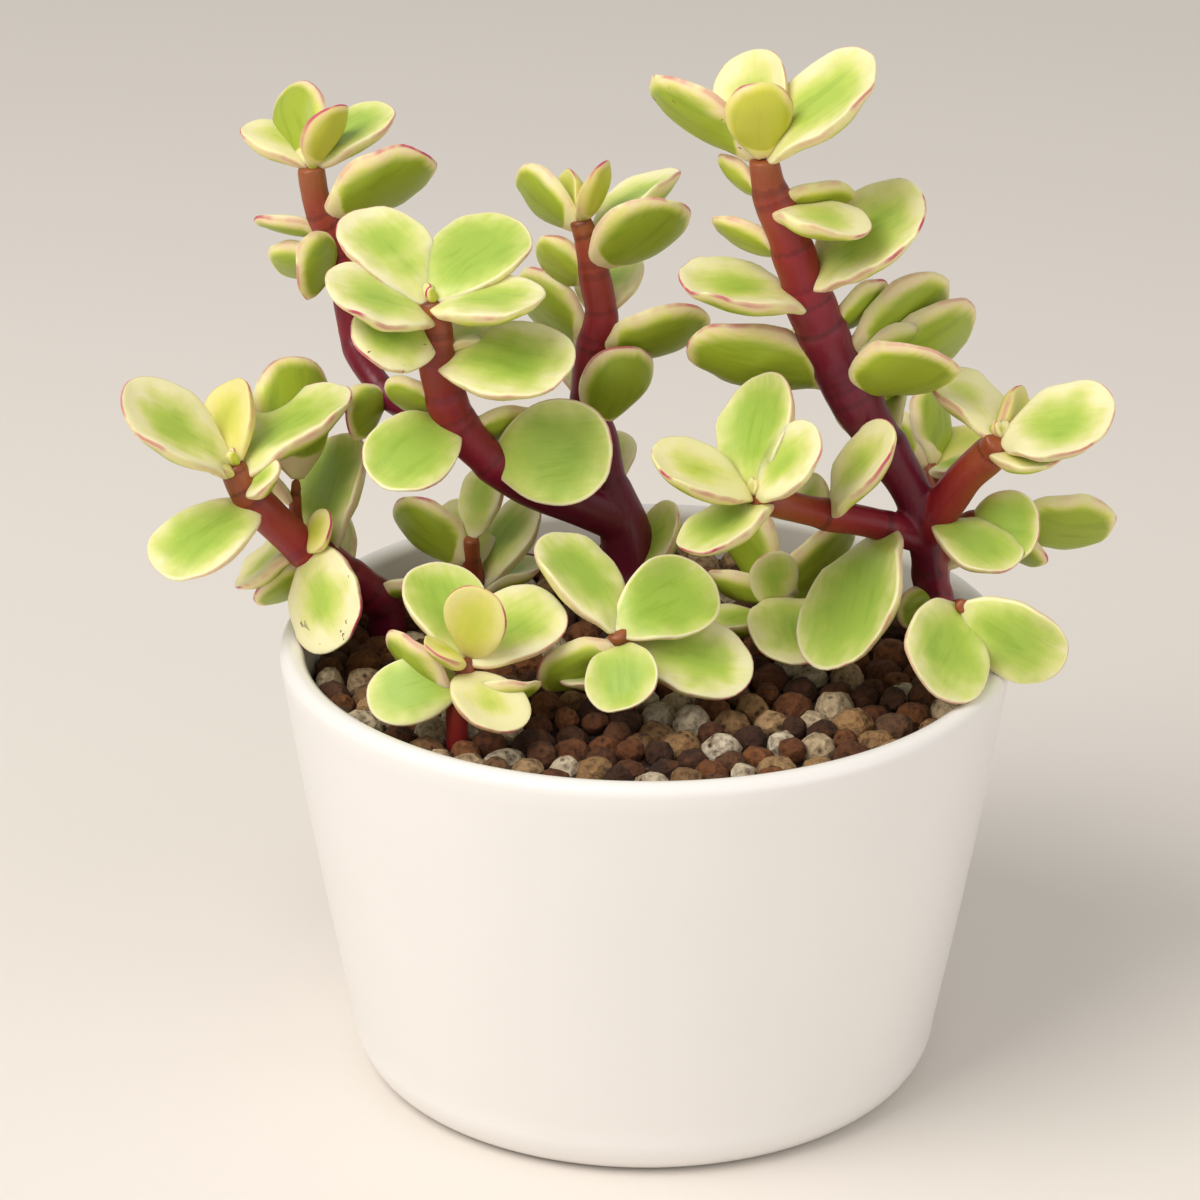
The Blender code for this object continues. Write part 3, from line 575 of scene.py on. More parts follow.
def grow(obj, tree, values, extra=()):
    """Runs a tree on an object with the named inputs, then any extra modifiers, and keeps the result
    as a plain mesh."""
    step = obj.modifiers.new(tree.name, "NODES")
    step.node_group = tree
    for item in tree.interface.items_tree:
        if item.in_out == "INPUT" and item.name in values:
            step[item.identifier] = values[item.name]
    for kind, settings in extra:
        more = obj.modifiers.new(kind.title(), kind)
        for name, value in settings.items():
            setattr(more, name, value)
    graph = bpy.context.evaluated_depsgraph_get()
    mesh = bpy.data.meshes.new_from_object(obj.evaluated_get(graph))
    obj.modifiers.clear()
    obj.data = mesh
    mesh.name = obj.name


def mesh_object(name, points, edges=(), faces=()):
    """A linked object from plain lists of points, edges and faces."""
    mesh = bpy.data.meshes.new(name)
    mesh.from_pydata(points, edges, faces)
    obj = bpy.data.objects.new(name, mesh)
    bpy.context.scene.collection.objects.link(obj)
    return obj


def remember(obj, name, kind, values):
    """Stores one value or vector for each point of an object's mesh."""
    attribute = obj.data.attributes.new(name, kind, "POINT")
    flat = np.array(values, dtype=np.float32).ravel()
    attribute.data.foreach_set("vector" if kind == "FLOAT_VECTOR" else "value", flat)


def stand_for(obj, slot, *nodes):
    """Hangs a finished piece on the root body and hides the solids that it stands for."""
    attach(obj, "root")
    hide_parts(*nodes)


def wall_radius(pot, height):
    """The outer radius above the rounded foot: a straight taper with a slight bow."""
    bow = 0.4 * MM
    share = (pot.height - height) / (pot.height - pot.foot_rounding)
    return pot.rim_radius + (pot.wall_foot_radius - pot.rim_radius) * share + bow * share * (1 - share) * 4


def pot_profile(pot):
    """Radius and height from the middle of the foot, up the outside, over the lip and down inside."""
    foot_steps, wall_steps, lip_steps, corner_steps = 12, 24, 12, 6
    corner_width = 0.004
    inside = (0.009, 0.02, 0.034, 0.048)
    rise = pot.wall_foot_radius - pot.foot_radius
    profile = [(0.0, 0.0), (pot.foot_radius * 0.5, 0.0), (pot.foot_radius * 0.97, 0.0)]
    for step in range(foot_steps + 1):
        angle = math.radians(90 * step / foot_steps)
        profile.append((
            pot.foot_radius + rise * math.sin(angle),
            pot.foot_rounding * (1 - math.cos(angle)),
        ))
    lip = pot.wall / 2
    lip_height = pot.height - lip
    for step in range(1, wall_steps + 1):
        height = pot.foot_rounding + (lip_height - pot.foot_rounding) * step / wall_steps
        profile.append((wall_radius(pot, height), height))
    lip_centre = wall_radius(pot, lip_height) - lip
    for step in range(1, lip_steps):
        angle = math.radians(180 * step / lip_steps)
        profile.append((lip_centre + lip * math.cos(angle), lip_height + lip * math.sin(angle)))
    profile.append((lip_centre - lip, lip_height))
    for height in reversed(inside):
        profile.append((wall_radius(pot, height) - pot.wall, height))
    corner = wall_radius(pot, inside[0]) - pot.wall
    for step in range(1, corner_steps + 1):
        angle = math.radians(90 * step / corner_steps)
        profile.append((
            corner - corner_width * (1 - math.cos(angle)),
            inside[0] - (inside[0] - pot.floor) * math.sin(angle),
        ))
    profile.extend([(corner * 0.5, pot.floor), (0.0, pot.floor)])
    return profile


def turning_tree():
    """Turns a profile about the Z axis: a grid takes its radius and height from the profile's points."""
    tree, source = new_tree("turned_vessel", (
        ("Sides", "NodeSocketInt", 96),
        ("Points", "NodeSocketInt", 10),
        ("Material", "NodeSocketMaterial", None),
    ))
    points, sides = (source, "Points"), (source, "Sides")
    columns = add(tree, "ShaderNodeMath", {0: sides, 1: 1.0}, operation="ADD")
    grid = add(
        tree, "GeometryNodeMeshGrid",
        {"Size X": 1.0, "Size Y": 1.0, "Vertices X": columns, "Vertices Y": points},
    )
    index = add(tree, "GeometryNodeInputIndex")
    row = add(tree, "ShaderNodeMath", {0: index, 1: points}, operation="MODULO")
    column = add(tree, "ShaderNodeMath", {0: index, 1: points}, operation="DIVIDE")
    whole = add(tree, "ShaderNodeMath", {0: column}, operation="FLOOR")
    turns = add(tree, "ShaderNodeMath", {0: whole, 1: sides}, operation="DIVIDE")
    angle = add(tree, "ShaderNodeMath", {0: turns, 1: math.tau}, operation="MULTIPLY")
    where = add(tree, "GeometryNodeInputPosition")
    profile = add(
        tree, "GeometryNodeSampleIndex",
        {"Geometry": (source, "Geometry"), "Value": where, "Index": row}, data_type="FLOAT_VECTOR",
    )
    turned = add(
        tree, "ShaderNodeVectorRotate", {"Vector": profile, "Angle": angle}, rotation_type="Z_AXIS"
    )
    placed = add(tree, "GeometryNodeSetPosition", {"Geometry": (grid, "Mesh"), "Position": turned})
    closed = add(tree, "GeometryNodeMergeByDistance", {"Geometry": placed, "Distance": SAME_PLACE})
    close_tree(tree, closed, source)
    return tree


def outward(obj):
    """Merges doubled points and turns every face of a closed shell outwards."""
    bm = bmesh.new()
    bm.from_mesh(obj.data)
    bmesh.ops.remove_doubles(bm, verts=bm.verts, dist=SAME_PLACE)
    bmesh.ops.recalc_face_normals(bm, faces=bm.faces)
    bm.to_mesh(obj.data)
    bm.free()


class BONSAI_OT_pot(bpy.types.Operator):
    """Turns the pot and glazes it"""
    bl_idname = "bonsai.pot"
    bl_label = "Pot"

    def execute(self, context):
        pot = context.scene.bonsai_pot
        profile = pot_profile(pot)
        obj = mesh_object("glazed_pot", [(radius, 0, height) for radius, height in profile])
        grow(obj, turning_tree(), {
            "Sides": pot.sides,
            "Points": len(profile),
            "Material": satin_glazed_stoneware(pot.glaze),
        })
        outward(obj)
        stand_for(obj, "pot_glaze", "pot")
        return {"FINISHED"}


class BONSAI_OT_potting_mix(bpy.types.Operator):
    """Gives the potting mix its crumbly surface"""
    bl_idname = "bonsai.potting_mix"
    bl_label = "Potting mix"

    def execute(self, context):
        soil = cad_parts["potting_mix"]
        soil.data.materials.clear()
        soil.data.materials.append(peat_potting_mix())
        return {"FINISHED"}


def packed_circles(radii, mouth, feet, draw):
    """Places for round granules: thrown at random, then pushed apart and back inside the pot."""
    rounds, push_share = 160, 0.35
    count = len(radii)
    turn = draw.uniform(0, math.tau, count)
    far = mouth * np.sqrt(draw.uniform(0, 1, count))
    places = np.stack([far * np.cos(turn), far * np.sin(turn)], axis=1)
    for _ in range(rounds):
        gaps = places[:, None] - places[None, :]
        apart = np.linalg.norm(gaps, axis=2) + NEVER_ZERO
        overlap = np.clip(radii[:, None] + radii[None, :] - apart, 0, None)
        np.fill_diagonal(overlap, 0)
        places += (gaps / apart[:, :, None] * overlap[:, :, None]).sum(axis=1) * push_share
        for x, y, radius in feet:
            away = places - (x, y)
            distance = np.linalg.norm(away, axis=1) + NEVER_ZERO
            push = np.clip(radius + radii - distance, 0, None)
            places += away / distance[:, None] * push[:, None]
        out = np.linalg.norm(places, axis=1) + NEVER_ZERO
        places *= np.minimum(1, (mouth - radii) / out)[:, None]
    return places


def granule_lump():
    """A rounded cube of 54 faces, the blank for every granule."""
    bm = bmesh.new()
    bmesh.ops.create_cube(bm, size=2)
    bmesh.ops.subdivide_edges(bm, edges=bm.edges, cuts=2, use_grid_fill=True)
    for vert in bm.verts:
        # Four parts ball to one part cube, then nine tenths of the way back to an even radius
        vert.co = vert.co.normalized() * 0.8 + vert.co * 0.2 / max(abs(c) for c in vert.co)
        vert.co = vert.co.normalized() * (0.9 + 0.1 * vert.co.length)
    obj = mesh_object("granule_lump", [])
    bm.to_mesh(obj.data)
    bm.free()
    return obj


def granule_tree():
    """Sets a lump on each point, turned and squashed at random, then knocks it out of round."""
    tree, source = new_tree("top_dressing", (
        ("Lump", "NodeSocketObject", None),
        ("Seed", "NodeSocketInt", 0),
        ("Knocks", "NodeSocketFloat", 0.0008),
        ("Material", "NodeSocketMaterial", None),
    ))
    lump = add(tree, "GeometryNodeObjectInfo", {"Object": (source, "Lump")})
    turn, squash = (
        add(
            tree, "FunctionNodeRandomValue",
            {"Min": least, "Max": most, "Seed": (source, "Seed")}, data_type="FLOAT_VECTOR",
        )
        for least, most in (
            ((0, 0, 0), (math.tau, math.tau, math.tau)), ((0.86, 0.86, 0.74), (1.12, 1.12, 1.0)),
        )
    )
    size = add(tree, "GeometryNodeInputNamedAttribute", {"Name": "size"}, data_type="FLOAT")
    lumps = add(
        tree, "GeometryNodeInstanceOnPoints",
        {"Points": (source, "Geometry"), "Instance": (lump, "Geometry"),
         "Rotation": add(tree, "FunctionNodeEulerToRotation", {"Euler": turn}),
         "Scale": add(tree, "ShaderNodeVectorMath", {0: squash, "Scale": size}, operation="SCALE")},
    )
    real = add(tree, "GeometryNodeRealizeInstances", {"Geometry": lumps})
    # Knocks are about 2.4 mm apart
    where = add(tree, "GeometryNodeInputPosition")
    noise = add(tree, "ShaderNodeTexNoise", {"Vector": where, "Scale": 420, "Detail": 2})
    centred = add(
        tree, "ShaderNodeVectorMath", {0: (noise, "Color"), 1: (0.5, 0.5, 0.5)}, operation="SUBTRACT"
    )
    knock = add(
        tree, "ShaderNodeVectorMath", {0: centred, "Scale": (source, "Knocks")}, operation="SCALE"
    )
    knocked = add(tree, "GeometryNodeSetPosition", {"Geometry": real, "Offset": knock})
    close_tree(tree, knocked, source)
    return tree


def stem_feet():
    """Where each stem enters the top dressing, with its radius."""
    feet = []
    for shoots in GROWTH.values():
        x, y, _, thickness = shoots[0][0][1]
        feet.append((x * MM, y * MM, thickness / 2 * MM))
    return feet


def bed_disc(radius, low, top, sides=64):
    """The dark dust that the granules lie in: a thin closed disc on the potting mix."""
    points = [
        (radius * math.cos(math.tau * i / sides), radius * math.sin(math.tau * i / sides), height)
        for height in (low, top) for i in range(sides)
    ]
    faces = [tuple(reversed(range(sides))), tuple(range(sides, 2 * sides))]
    for i in range(sides):
        j = (i + 1) % sides
        faces.append((i, j, sides + j, sides + i))
    return points, (), faces


class BONSAI_OT_top_dressing(bpy.types.Operator):
    """Scatters the granules of the top dressing"""
    bl_idname = "bonsai.top_dressing"
    bl_label = "Top dressing"

    def execute(self, context):
        settings = context.scene.bonsai_dressing
        pot = context.scene.bonsai_pot
        draw = np.random.default_rng(settings.seed)
        mouth = wall_radius(pot, settings.bed) - pot.wall - 0.3 * MM
        # How far down each of the two layers lies, and how much of the mouth it fills
        layers = ((2.6 * MM, 0.74), (0.0, 0.92))
        sunk, proud, knocks = -0.9 * MM, 0.3 * MM, 1.3 * MM
        bed_low, bed_top = 54.0 * MM, settings.bed - 1.2 * MM
        points, sizes, kinds = [], [], []
        for lowered, share in layers:
            radii = []
            area = 0.0
            while area < share * mouth ** 2:
                radius = settings.smallest + (settings.largest - settings.smallest) * draw.beta(2, 2)
                radii.append(radius)
                area += radius ** 2
            radii = np.array(radii)
            places = packed_circles(radii, mouth, stem_feet(), draw)
            lift = draw.uniform(sunk, proud, len(radii))
            for (x, y), radius, up in zip(places, radii, lift):
                points.append((x, y, settings.top - lowered + up - radius))
                sizes.append(radius)
                kinds.append(draw.uniform(0, 1))
        lump = granule_lump()
        obj = mesh_object("clay_granules", points)
        remember(obj, "size", "FLOAT", sizes)
        remember(obj, "kind", "FLOAT", kinds)
        grow(obj, granule_tree(), {
            "Lump": lump, "Seed": settings.seed, "Knocks": knocks, "Material": baked_clay_granules(),
        })
        bpy.data.objects.remove(lump)
        stand_for(obj, "clay_granules", "gravel_top_dressing")
        bed = mesh_object("dressing_bed", *bed_disc(mouth, bed_low, bed_top))
        bed.data.materials.append(peat_potting_mix())
        stand_for(bed, "clay_granules", "gravel_top_dressing")
        return {"FINISHED"}


def direction(azimuth, lift):
    """The way that an azimuth and a lift in degrees point."""
    around, up = math.radians(azimuth), math.radians(lift)
    return Vector((math.cos(around) * math.cos(up), math.sin(around) * math.cos(up), math.sin(up)))


def along(path, joint):
    """The place on a shoot's centre line at a joint number, and the line's direction there."""
    index = min(int(joint), len(path) - 2)
    start, end = Vector(path[index][:3]), Vector(path[index + 1][:3])
    return start.lerp(end, joint - index), (end - start).normalized()


def smooth_path(path, steps=10):
    """Places and radii, in mm, on a smooth curve through a shoot's joints."""
    rows = [Vector(row) for row in path]
    made = []
    for i in range(len(rows) - 1):
        start, end = rows[i], rows[i + 1]
        before, after = rows[max(i - 1, 0)], rows[min(i + 2, len(rows) - 1)]
        for step in range(steps):
            t = step / steps
            made.append(0.5 * (
                2 * start
                + (end - before) * t
                + (2 * before - 5 * start + 4 * end - after) * t ** 2
                + (3 * start - before - 3 * end + after) * t ** 3
            ))
    return [(Vector(row[:3]), row[3] / 2) for row in (*made, rows[-1])]


def stem_tree():
    """Sweeps a round section along each shoot's line, as thick as the line says."""
    tree, source = new_tree("woody_stem", (
        ("Sides", "NodeSocketInt", 20),
        ("Material", "NodeSocketMaterial", None),
    ))
    girth = add(tree, "GeometryNodeInputNamedAttribute", {"Name": "girth"}, data_type="FLOAT")
    line = add(tree, "GeometryNodeMeshToCurve", {"Mesh": (source, "Geometry")})
    section = add(
        tree, "GeometryNodeCurvePrimitiveCircle", {"Resolution": (source, "Sides"), "Radius": 1.0}
    )
    swept = add(
        tree, "GeometryNodeCurveToMesh",
        {"Curve": line, "Profile Curve": (section, "Curve"), "Scale": girth, "Fill Caps": True},
    )
    close_tree(tree, swept, source)
    return tree


def shoulder(place, leaves, path):
    """How much a stem swells and creases at a place, for the leaves that grow near it. Lengths are in
    mm."""
    near, bulge, fade_below, fade_above = 8, 0.13, 3.2, 0.9
    crease_at, crease_width = 0.9, 0.35
    swell, crease = 0.0, 0.0
    for joint, *_ in leaves:
        base, line = along(path, joint)
        above = (place - base).dot(line)
        if (place - base).length > near:
            continue
        fade = fade_below if above <= 0 else fade_above
        swell = max(swell, bulge * math.exp(-(above / fade) ** 2))
        crease = max(crease, math.exp(-((above - crease_at) / crease_width) ** 2))
    return swell, crease


class BONSAI_OT_stems(bpy.types.Operator):
    """Sweeps the woody stems and fuses the shoots of each one"""
    bl_idname = "bonsai.stems"
    bl_label = "Stems"

    def execute(self, context):
        # The last 34 mm of a shoot are young: they thicken on a long shoot and thin on a short one
        young_stretch, thicker, thinner = 34, 0.16, -0.22
        sides, voxel = 20, 0.34 * MM
        skin = woody_stem_skin()
        tree = stem_tree()
        for name, shoots in GROWTH.items():
            points, edges, girths, youths, creases = [], [], [], [], []
            for path, leaves in shoots:
                rows = smooth_path(path)
                tip = rows[-1][0]
                taper = thicker if len(path) >= LONG_SHOOT else thinner
                for i, (place, radius) in enumerate(rows):
                    swell, crease = shoulder(place, leaves, path)
                    if i:
                        edges.append((len(points) - 1, len(points)))
                    points.append(place * MM)
                    youth = max(0.0, 1 - (place - tip).length / young_stretch)
                    girths.append(radius * (1 + swell + taper * youth) * MM)
                    youths.append(youth)
                    creases.append(crease)
            obj = mesh_object(name + "_bark", points, edges)
            remember(obj, "girth", "FLOAT", girths)
            grow(obj, tree, {"Sides": sides, "Material": skin}, (
                ("REMESH", {"mode": "VOXEL", "voxel_size": voxel, "use_smooth_shade": True}),
                ("SMOOTH", {"factor": 0.5, "iterations": 9}),
            ))
            nearest = KDTree(len(points))
            for i, point in enumerate(points):
                nearest.insert(point, i)
            nearest.balance()
            found = [nearest.find(vert.co)[1] for vert in obj.data.vertices]
            remember(obj, "youth", "FLOAT", [youths[i] for i in found])
            remember(obj, "crease", "FLOAT", [creases[i] for i in found])
            obj.data.materials.clear()
            obj.data.materials.append(skin)
            stand_for(obj, "jade_bark", name)
        return {"FINISHED"}


def spoon_width(share):
    """Half the width of a leaf along its length, as a share of the widest place."""
    widest, base_curve, tip_curve, neck = 0.6, 0.7, 0.467, 0.16
    shape = 0.0
    if 0 < share < 1:
        shape = (share / widest) ** base_curve * ((1 - share) / (1 - widest)) ** tip_curve
    return math.hypot(shape, neck * (1 - share) ** 3)


def leaf_blank(segments=44, rings=24):
    """A leaf of unit length, half width and thickness: hollow rings from the middle of the upper face
    out to the margin and back to the middle of the underside."""
    middle = 0.58
    # The leaf is this deep above and below its seam, and the seam drops towards the margin
    above, below, seam_drop = 0.2, -0.8, 0.1
    thinnest, fuller, fuller_towards_base = 0.55, 0.45, 0.12
    edge_curve = 4.4
    # Shares of the way from the upper face round to the lower one where the underside's look, its olive
    # colour with painted shade, sets in
    under_from, under_over = 0.47, 0.08
    points, blades, unders = [], [], []

    def place(rho, share, width, angle):
        side = width * rho
        up = above if angle < math.pi / 2 else below
        lengthways = middle + (share - middle) * rho
        deep = thinnest + fuller * math.sin(math.pi * min(lengthways + fuller_towards_base, 1))
        body = max(0.0, 1 - rho ** edge_curve) ** 0.5
        points.append((side, lengthways, up * deep * body - seam_drop * deep * (1 - body)))
        blades.append((side, lengthways, rho))
        unders.append(min(1.0, max(0.0, (angle - math.pi * under_from) / (math.pi * under_over))))

    place(0.0, middle, 0.0, 0.0)
    for ring in range(1, rings):
        angle = math.pi * ring / rings
        for k in range(segments):
            around = math.tau * k / segments
            share = 0.5 - 0.5 * math.cos(around)
            width = spoon_width(share) * (1 if around <= math.pi else -1) if k else 0.0
            place(math.sin(angle), share, width, angle)
    place(0.0, middle, 0.0, math.pi)
    faces = []
    for k in range(segments):
        j = (k + 1) % segments
        faces.append((0, 1 + k, 1 + j))
        for ring in range(rings - 2):
            a = 1 + ring * segments
            faces.append((a + k, a + segments + k, a + segments + j, a + j))
        last = 1 + (rings - 2) * segments
        faces.append((last + k, len(points) - 1, last + j))
    obj = mesh_object("leaf_blank", points, (), faces)
    remember(obj, "blade", "FLOAT_VECTOR", blades)
    remember(obj, "under", "FLOAT", unders)
    return obj


def leaf_tree():
    """Sets the leaf blank on each growing point, facing as the point says, then hollows, arches and
    waves it along its own face."""
    tree, source = new_tree("spoon_leaves", (
        ("Blank", "NodeSocketObject", None),
        ("Cup", "NodeSocketFloat", 0.18),
        ("Arch", "NodeSocketFloat", 0.05),
        ("Wave", "NodeSocketFloat", 0.0005),
        ("Material", "NodeSocketMaterial", None),
    ))
    blank = add(tree, "GeometryNodeObjectInfo", {"Object": (source, "Blank")})
    face, line, size, blade = (
        add(tree, "GeometryNodeInputNamedAttribute", {"Name": name}, data_type="FLOAT_VECTOR")
        for name in ("face", "line", "size", "blade")
    )
    draw, hollow = (
        add(tree, "GeometryNodeInputNamedAttribute", {"Name": name}, data_type="FLOAT")
        for name in ("draw", "hollow")
    )
    aim = add(
        tree, "FunctionNodeAxesToRotation", {"Primary Axis": face, "Secondary Axis": line},
        primary_axis="Z", secondary_axis="Y",
    )
    leaves = add(
        tree, "GeometryNodeInstanceOnPoints",
        {"Points": (source, "Geometry"), "Instance": (blank, "Geometry"),
         "Rotation": aim, "Scale": size},
    )
    real = add(tree, "GeometryNodeRealizeInstances", {"Geometry": leaves})
    parts = add(tree, "ShaderNodeSeparateXYZ", {"Vector": blade})
    sizes = add(tree, "ShaderNodeSeparateXYZ", {"Vector": size})
    # The margin stands up round the hollow face, and fades out at the neck
    rise = add(tree, "ShaderNodeMath", {0: (parts, "Z"), 1: 2.6}, operation="POWER")
    past_neck = add(
        tree, "ShaderNodeMapRange", {"Value": (parts, "Y"), "From Min": 0.0, "From Max": 0.35},
        interpolation_type="SMOOTHSTEP",
    )
    raised = add(tree, "ShaderNodeMath", {0: rise, 1: past_neck}, operation="MULTIPLY")
    own_cup = add(tree, "ShaderNodeMath", {0: hollow, 1: (source, "Cup")}, operation="MULTIPLY")
    rim_height = add(tree, "ShaderNodeMath", {0: (sizes, "X"), 1: own_cup}, operation="MULTIPLY")
    cup = add(tree, "ShaderNodeMath", {0: raised, 1: rim_height}, operation="MULTIPLY")
    turn = add(tree, "ShaderNodeMath", {0: (parts, "Y"), 1: math.pi}, operation="MULTIPLY")
    bow = add(tree, "ShaderNodeMath", {0: turn}, operation="SINE")
    arch_height = add(
        tree, "ShaderNodeMath", {0: (sizes, "Y"), 1: (source, "Arch")}, operation="MULTIPLY"
    )
    arch = add(tree, "ShaderNodeMath", {0: bow, 1: arch_height}, operation="MULTIPLY")
    # The wave is a slow noise, about 6 mm long and different for each leaf, that grows to the margin
    real_place = add(tree, "ShaderNodeVectorMath", {0: blade, 1: size}, operation="MULTIPLY")
    millimetres = add(
        tree, "ShaderNodeVectorMath", {0: real_place, "Scale": 1000.0}, operation="SCALE"
    )
    flat = add(tree, "ShaderNodeVectorMath", {0: millimetres, 1: (1, 1, 0)}, operation="MULTIPLY")
    seeded = add(tree, "ShaderNodeCombineXYZ", {"Z": draw})
    place = add(tree, "ShaderNodeVectorMath", {0: flat, 1: seeded}, operation="ADD")
    noise = add(tree, "ShaderNodeTexNoise", {"Vector": place, "Scale": 0.16, "Detail": 1})
    swing = add(
        tree, "ShaderNodeMapRange",
        {"Value": noise, "From Min": 0.25, "From Max": 0.75, "To Min": -1.0, "To Max": 1.0},
    )
    wave_height = add(tree, "ShaderNodeMath", {0: (source, "Wave"), 1: rise}, operation="MULTIPLY")
    wave = add(tree, "ShaderNodeMath", {0: swing, 1: wave_height}, operation="MULTIPLY")
    height = cup
    for shift in (arch, wave):
        height = add(tree, "ShaderNodeMath", {0: height, 1: shift}, operation="ADD")
    offset = add(tree, "ShaderNodeVectorMath", {0: face, "Scale": height}, operation="SCALE")
    shaped = add(tree, "GeometryNodeSetPosition", {"Geometry": real, "Offset": offset})
    noted = add(
        tree, "GeometryNodeStoreNamedAttribute",
        {"Geometry": shaped, "Name": "place", "Value": place},
        data_type="FLOAT_VECTOR", domain="POINT",
    )
    close_tree(tree, noted, source)
    return tree


def with_buds(path, leaves):
    """A shoot's leaves, and on a long shoot a pair of tiny new ones folded over its tip."""
    if len(path) < LONG_SHOOT:
        return leaves
    below_tip, apart, lift, length, width = 0.05, 85, 72, 2.6, 1.5
    x, y, _ = Vector(path[-1][:3]) - Vector(path[-2][:3])
    heading = math.degrees(math.atan2(y, x))
    buds = [
        (len(path) - 1 - below_tip, heading + side * apart, lift, length, width, 0, "bud")
        for side in (-1, 1)
    ]
    return (*leaves, *buds)


def growing_points(shoots, settings, draw):
    """The leaves of one stem: base, face, line, size and look of each."""
    margin_drift, green_drift, strength_range, noise_reach = 0.10, 0.3, (0.6, 1.5), 900
    # A leaf's share of the full thickness: this much, and its length in mm over this
    least_share, thickening = 0.55, 40
    rows = []
    for path, leaves in shoots:
        for joint, azimuth, lift, length, width, turn, *habit in with_buds(path, leaves):
            base, stem_line = along(path, joint)
            line = direction(azimuth, lift)
            upright = (stem_line - line * stem_line.dot(line)).normalized()
            angle = math.radians(turn)
            face = upright * math.cos(angle) + line.cross(upright) * math.sin(angle)
            size = (
                width / 2 * MM,
                length * settings.leaf_fit * MM,
                settings.leaf_thickness * min(1, least_share + length / thickening),
            )
            margin, greenness, youth, blush, scars = HABITS[habit[0] if habit else "variegated"]
            margin += draw.uniform(-margin_drift, margin_drift)
            greenness = min(1, max(0, greenness + draw.uniform(-green_drift, green_drift)))
            blush *= draw.uniform(*strength_range)
            noise_place = draw.uniform(0, noise_reach)
            hollow = draw.uniform(*strength_range)
            rows.append((
                base * MM, face, line, size, (margin, greenness, youth), blush, noise_place, hollow, scars,
            ))
    return rows


class BONSAI_OT_leaves(bpy.types.Operator):
    """Sets the leaves on every stem"""
    bl_idname = "bonsai.leaves"
    bl_label = "Leaves"

    def execute(self, context):
        settings = context.scene.bonsai_plant
        draw = random.Random(settings.seed)
        blank = leaf_blank()
        tree = leaf_tree()
        skin = waxy_variegated_leaf()
        for name, shoots in GROWTH.items():
            rows = growing_points(shoots, settings, draw)
            obj = mesh_object(name + "_leaves", [row[0] for row in rows])
            labels = ("face", "line", "size", "habit", "blush", "draw", "hollow", "scars")
            for column, label in enumerate(labels, start=1):
                kind = "FLOAT_VECTOR" if label in ("face", "line", "size", "habit") else "FLOAT"
                remember(obj, label, kind, [row[column] for row in rows])
            grow(obj, tree, {
                "Blank": blank, "Cup": settings.leaf_cup, "Arch": settings.leaf_arch,
                "Wave": settings.leaf_wave, "Material": skin,
            })
            stand_for(obj, "jade_leaf", name)
        bpy.data.objects.remove(blank)
        return {"FINISHED"}


def soft_light(name, place, target, size, power, colour):
    """A large square soft box at a place, aimed at a target."""
    lamp = bpy.data.lights.new(name, "AREA")
    lamp.shape = "SQUARE"
    lamp.size = size
    lamp.energy = power
    lamp.color = tone(colour)[:3]
    obj = bpy.data.objects.new(name, lamp)
    bpy.context.scene.collection.objects.link(obj)
    obj.location = place
    obj.rotation_euler = (target - Vector(place)).to_track_quat("-Z", "Y").to_euler()


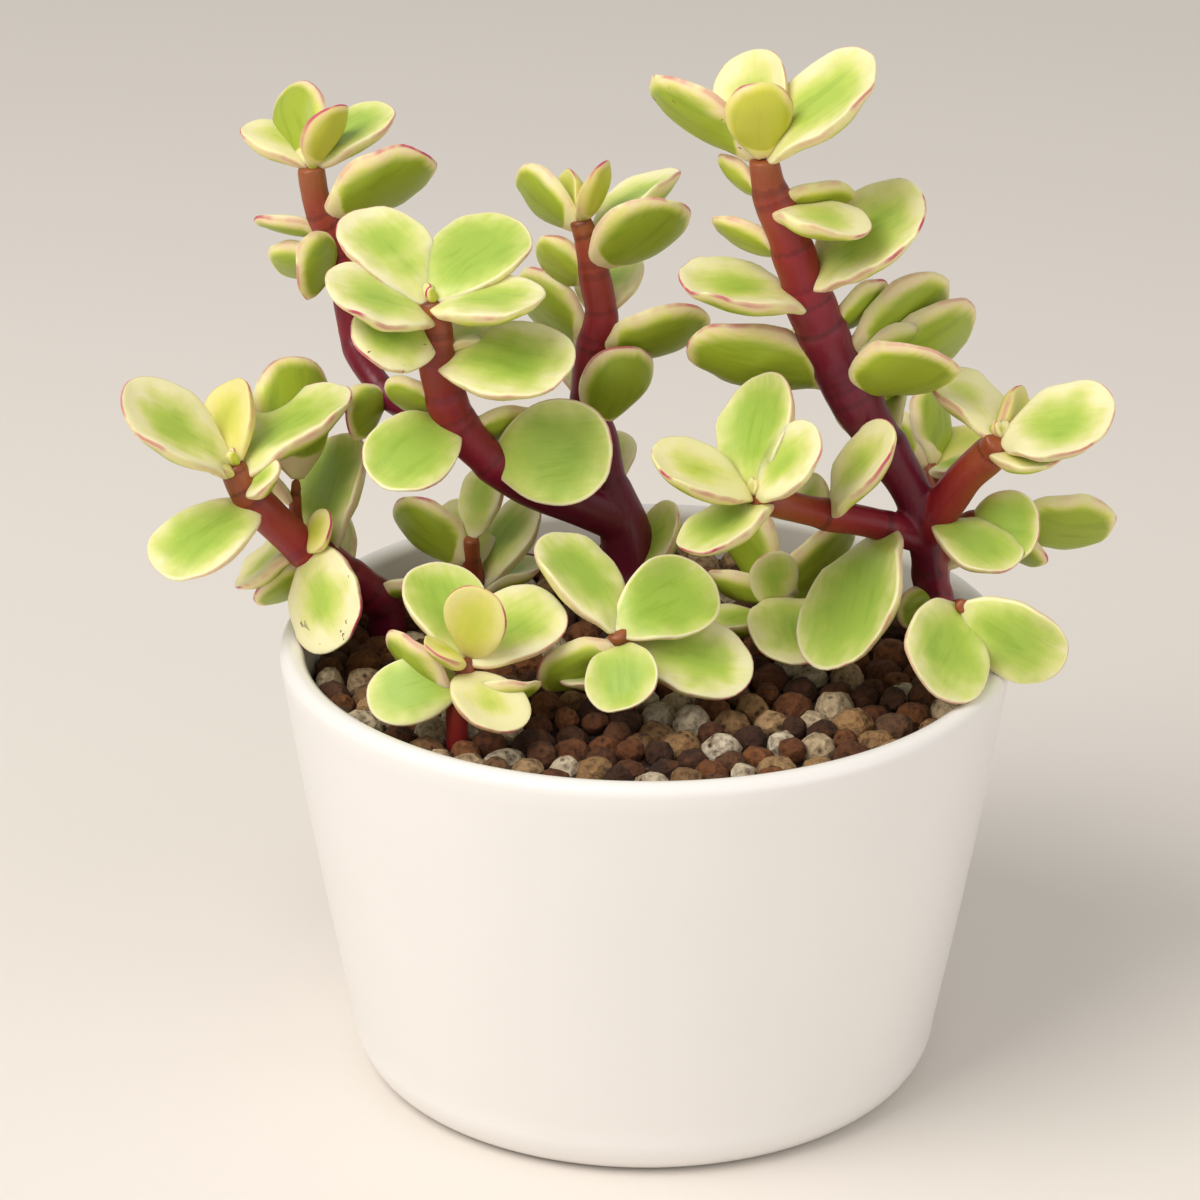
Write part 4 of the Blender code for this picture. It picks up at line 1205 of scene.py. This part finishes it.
class BONSAI_OT_stage(bpy.types.Operator):
    """Lays the pale floor and sets the lights and the camera"""
    bl_idname = "bonsai.stage"
    bl_label = "Stage"

    def execute(self, context):
        scene = context.scene
        settings = scene.bonsai_stage
        reach = 4.0
        corners = [(-reach, -reach, 0), (reach, -reach, 0), (reach, reach, 0), (-reach, reach, 0)]
        floor = mesh_object("studio_floor", corners, (), [(0, 1, 2, 3)])
        paper, tree = surface("matt_backdrop_paper")
        shader = add(
            tree, "ShaderNodeBsdfPrincipled",
            {"Base Color": tuple(settings.floor), "Roughness": 0.9, "Specular IOR Level": 0.2},
        )
        add(tree, "ShaderNodeOutputMaterial", {"Surface": shader})
        floor.data.materials.append(paper)
        target = Vector(settings.target)
        soft_light("key_light", (-0.45, -0.35, 0.75), target, 0.6, settings.key, "#fffaf4")
        soft_light("fill_light", (0.7, -0.5, 0.4), target, 0.8, settings.key * 0.25, "#fffcf8")
        world = bpy.data.worlds.new("studio")
        world.use_nodes = True
        sky = world.node_tree.nodes["Background"].inputs
        sky["Color"].default_value = tone("#fffdfa")
        sky["Strength"].default_value = 0.5
        scene.world = world
        scene.view_settings.view_transform = "Standard"
        lens = bpy.data.cameras.new("camera")
        lens.sensor_width = 36
        lens.lens = settings.lens
        lens.clip_start = 0.01
        camera = bpy.data.objects.new("camera", lens)
        scene.collection.objects.link(camera)
        lift = settings.elevation
        camera.location = target + settings.distance * Vector((0, -math.cos(lift), math.sin(lift)))
        camera.rotation_euler = (math.pi / 2 - lift, 0, 0)
        scene.camera = camera
        return {"FINISHED"}


class BONSAI_PT_build(bpy.types.Panel):
    """Lists the pieces, each with its sizes and colours"""
    bl_label = "Dwarf Jade Bonsai"
    bl_space_type = "VIEW_3D"
    bl_region_type = "UI"
    bl_category = "Bonsai"

    def draw(self, context):
        for operator, group in (
            (BONSAI_OT_pot, "bonsai_pot"),
            (BONSAI_OT_potting_mix, None),
            (BONSAI_OT_top_dressing, "bonsai_dressing"),
            (BONSAI_OT_stems, None),
            (BONSAI_OT_leaves, "bonsai_plant"),
            (BONSAI_OT_stage, "bonsai_stage"),
        ):
            box = self.layout.box()
            box.operator(operator.bl_idname)
            for name in SETTINGS[group].__annotations__ if group else ():
                box.prop(getattr(context.scene, group), name)


SETTINGS = {
    "bonsai_pot": PotSettings,
    "bonsai_dressing": DressingSettings,
    "bonsai_plant": PlantSettings,
    "bonsai_stage": StageSettings,
}
CLASSES = (
    *SETTINGS.values(),
    BONSAI_OT_pot, BONSAI_OT_potting_mix, BONSAI_OT_top_dressing, BONSAI_OT_stems,
    BONSAI_OT_leaves, BONSAI_OT_stage, BONSAI_PT_build,
)


def register():
    for cls in CLASSES:
        bpy.utils.register_class(cls)
    for name, group in SETTINGS.items():
        setattr(bpy.types.Scene, name, PointerProperty(type=group))


def unregister():
    for name in reversed(SETTINGS):
        delattr(bpy.types.Scene, name)
    for cls in reversed(CLASSES):
        bpy.utils.unregister_class(cls)


def main():
    register()
    bpy.ops.bonsai.pot()
    bpy.ops.bonsai.potting_mix()
    bpy.ops.bonsai.top_dressing()
    bpy.ops.bonsai.stems()
    bpy.ops.bonsai.leaves()
    bpy.ops.bonsai.stage()
    bpy.context.view_layer.update()


if __name__ == "__main__":
    main()
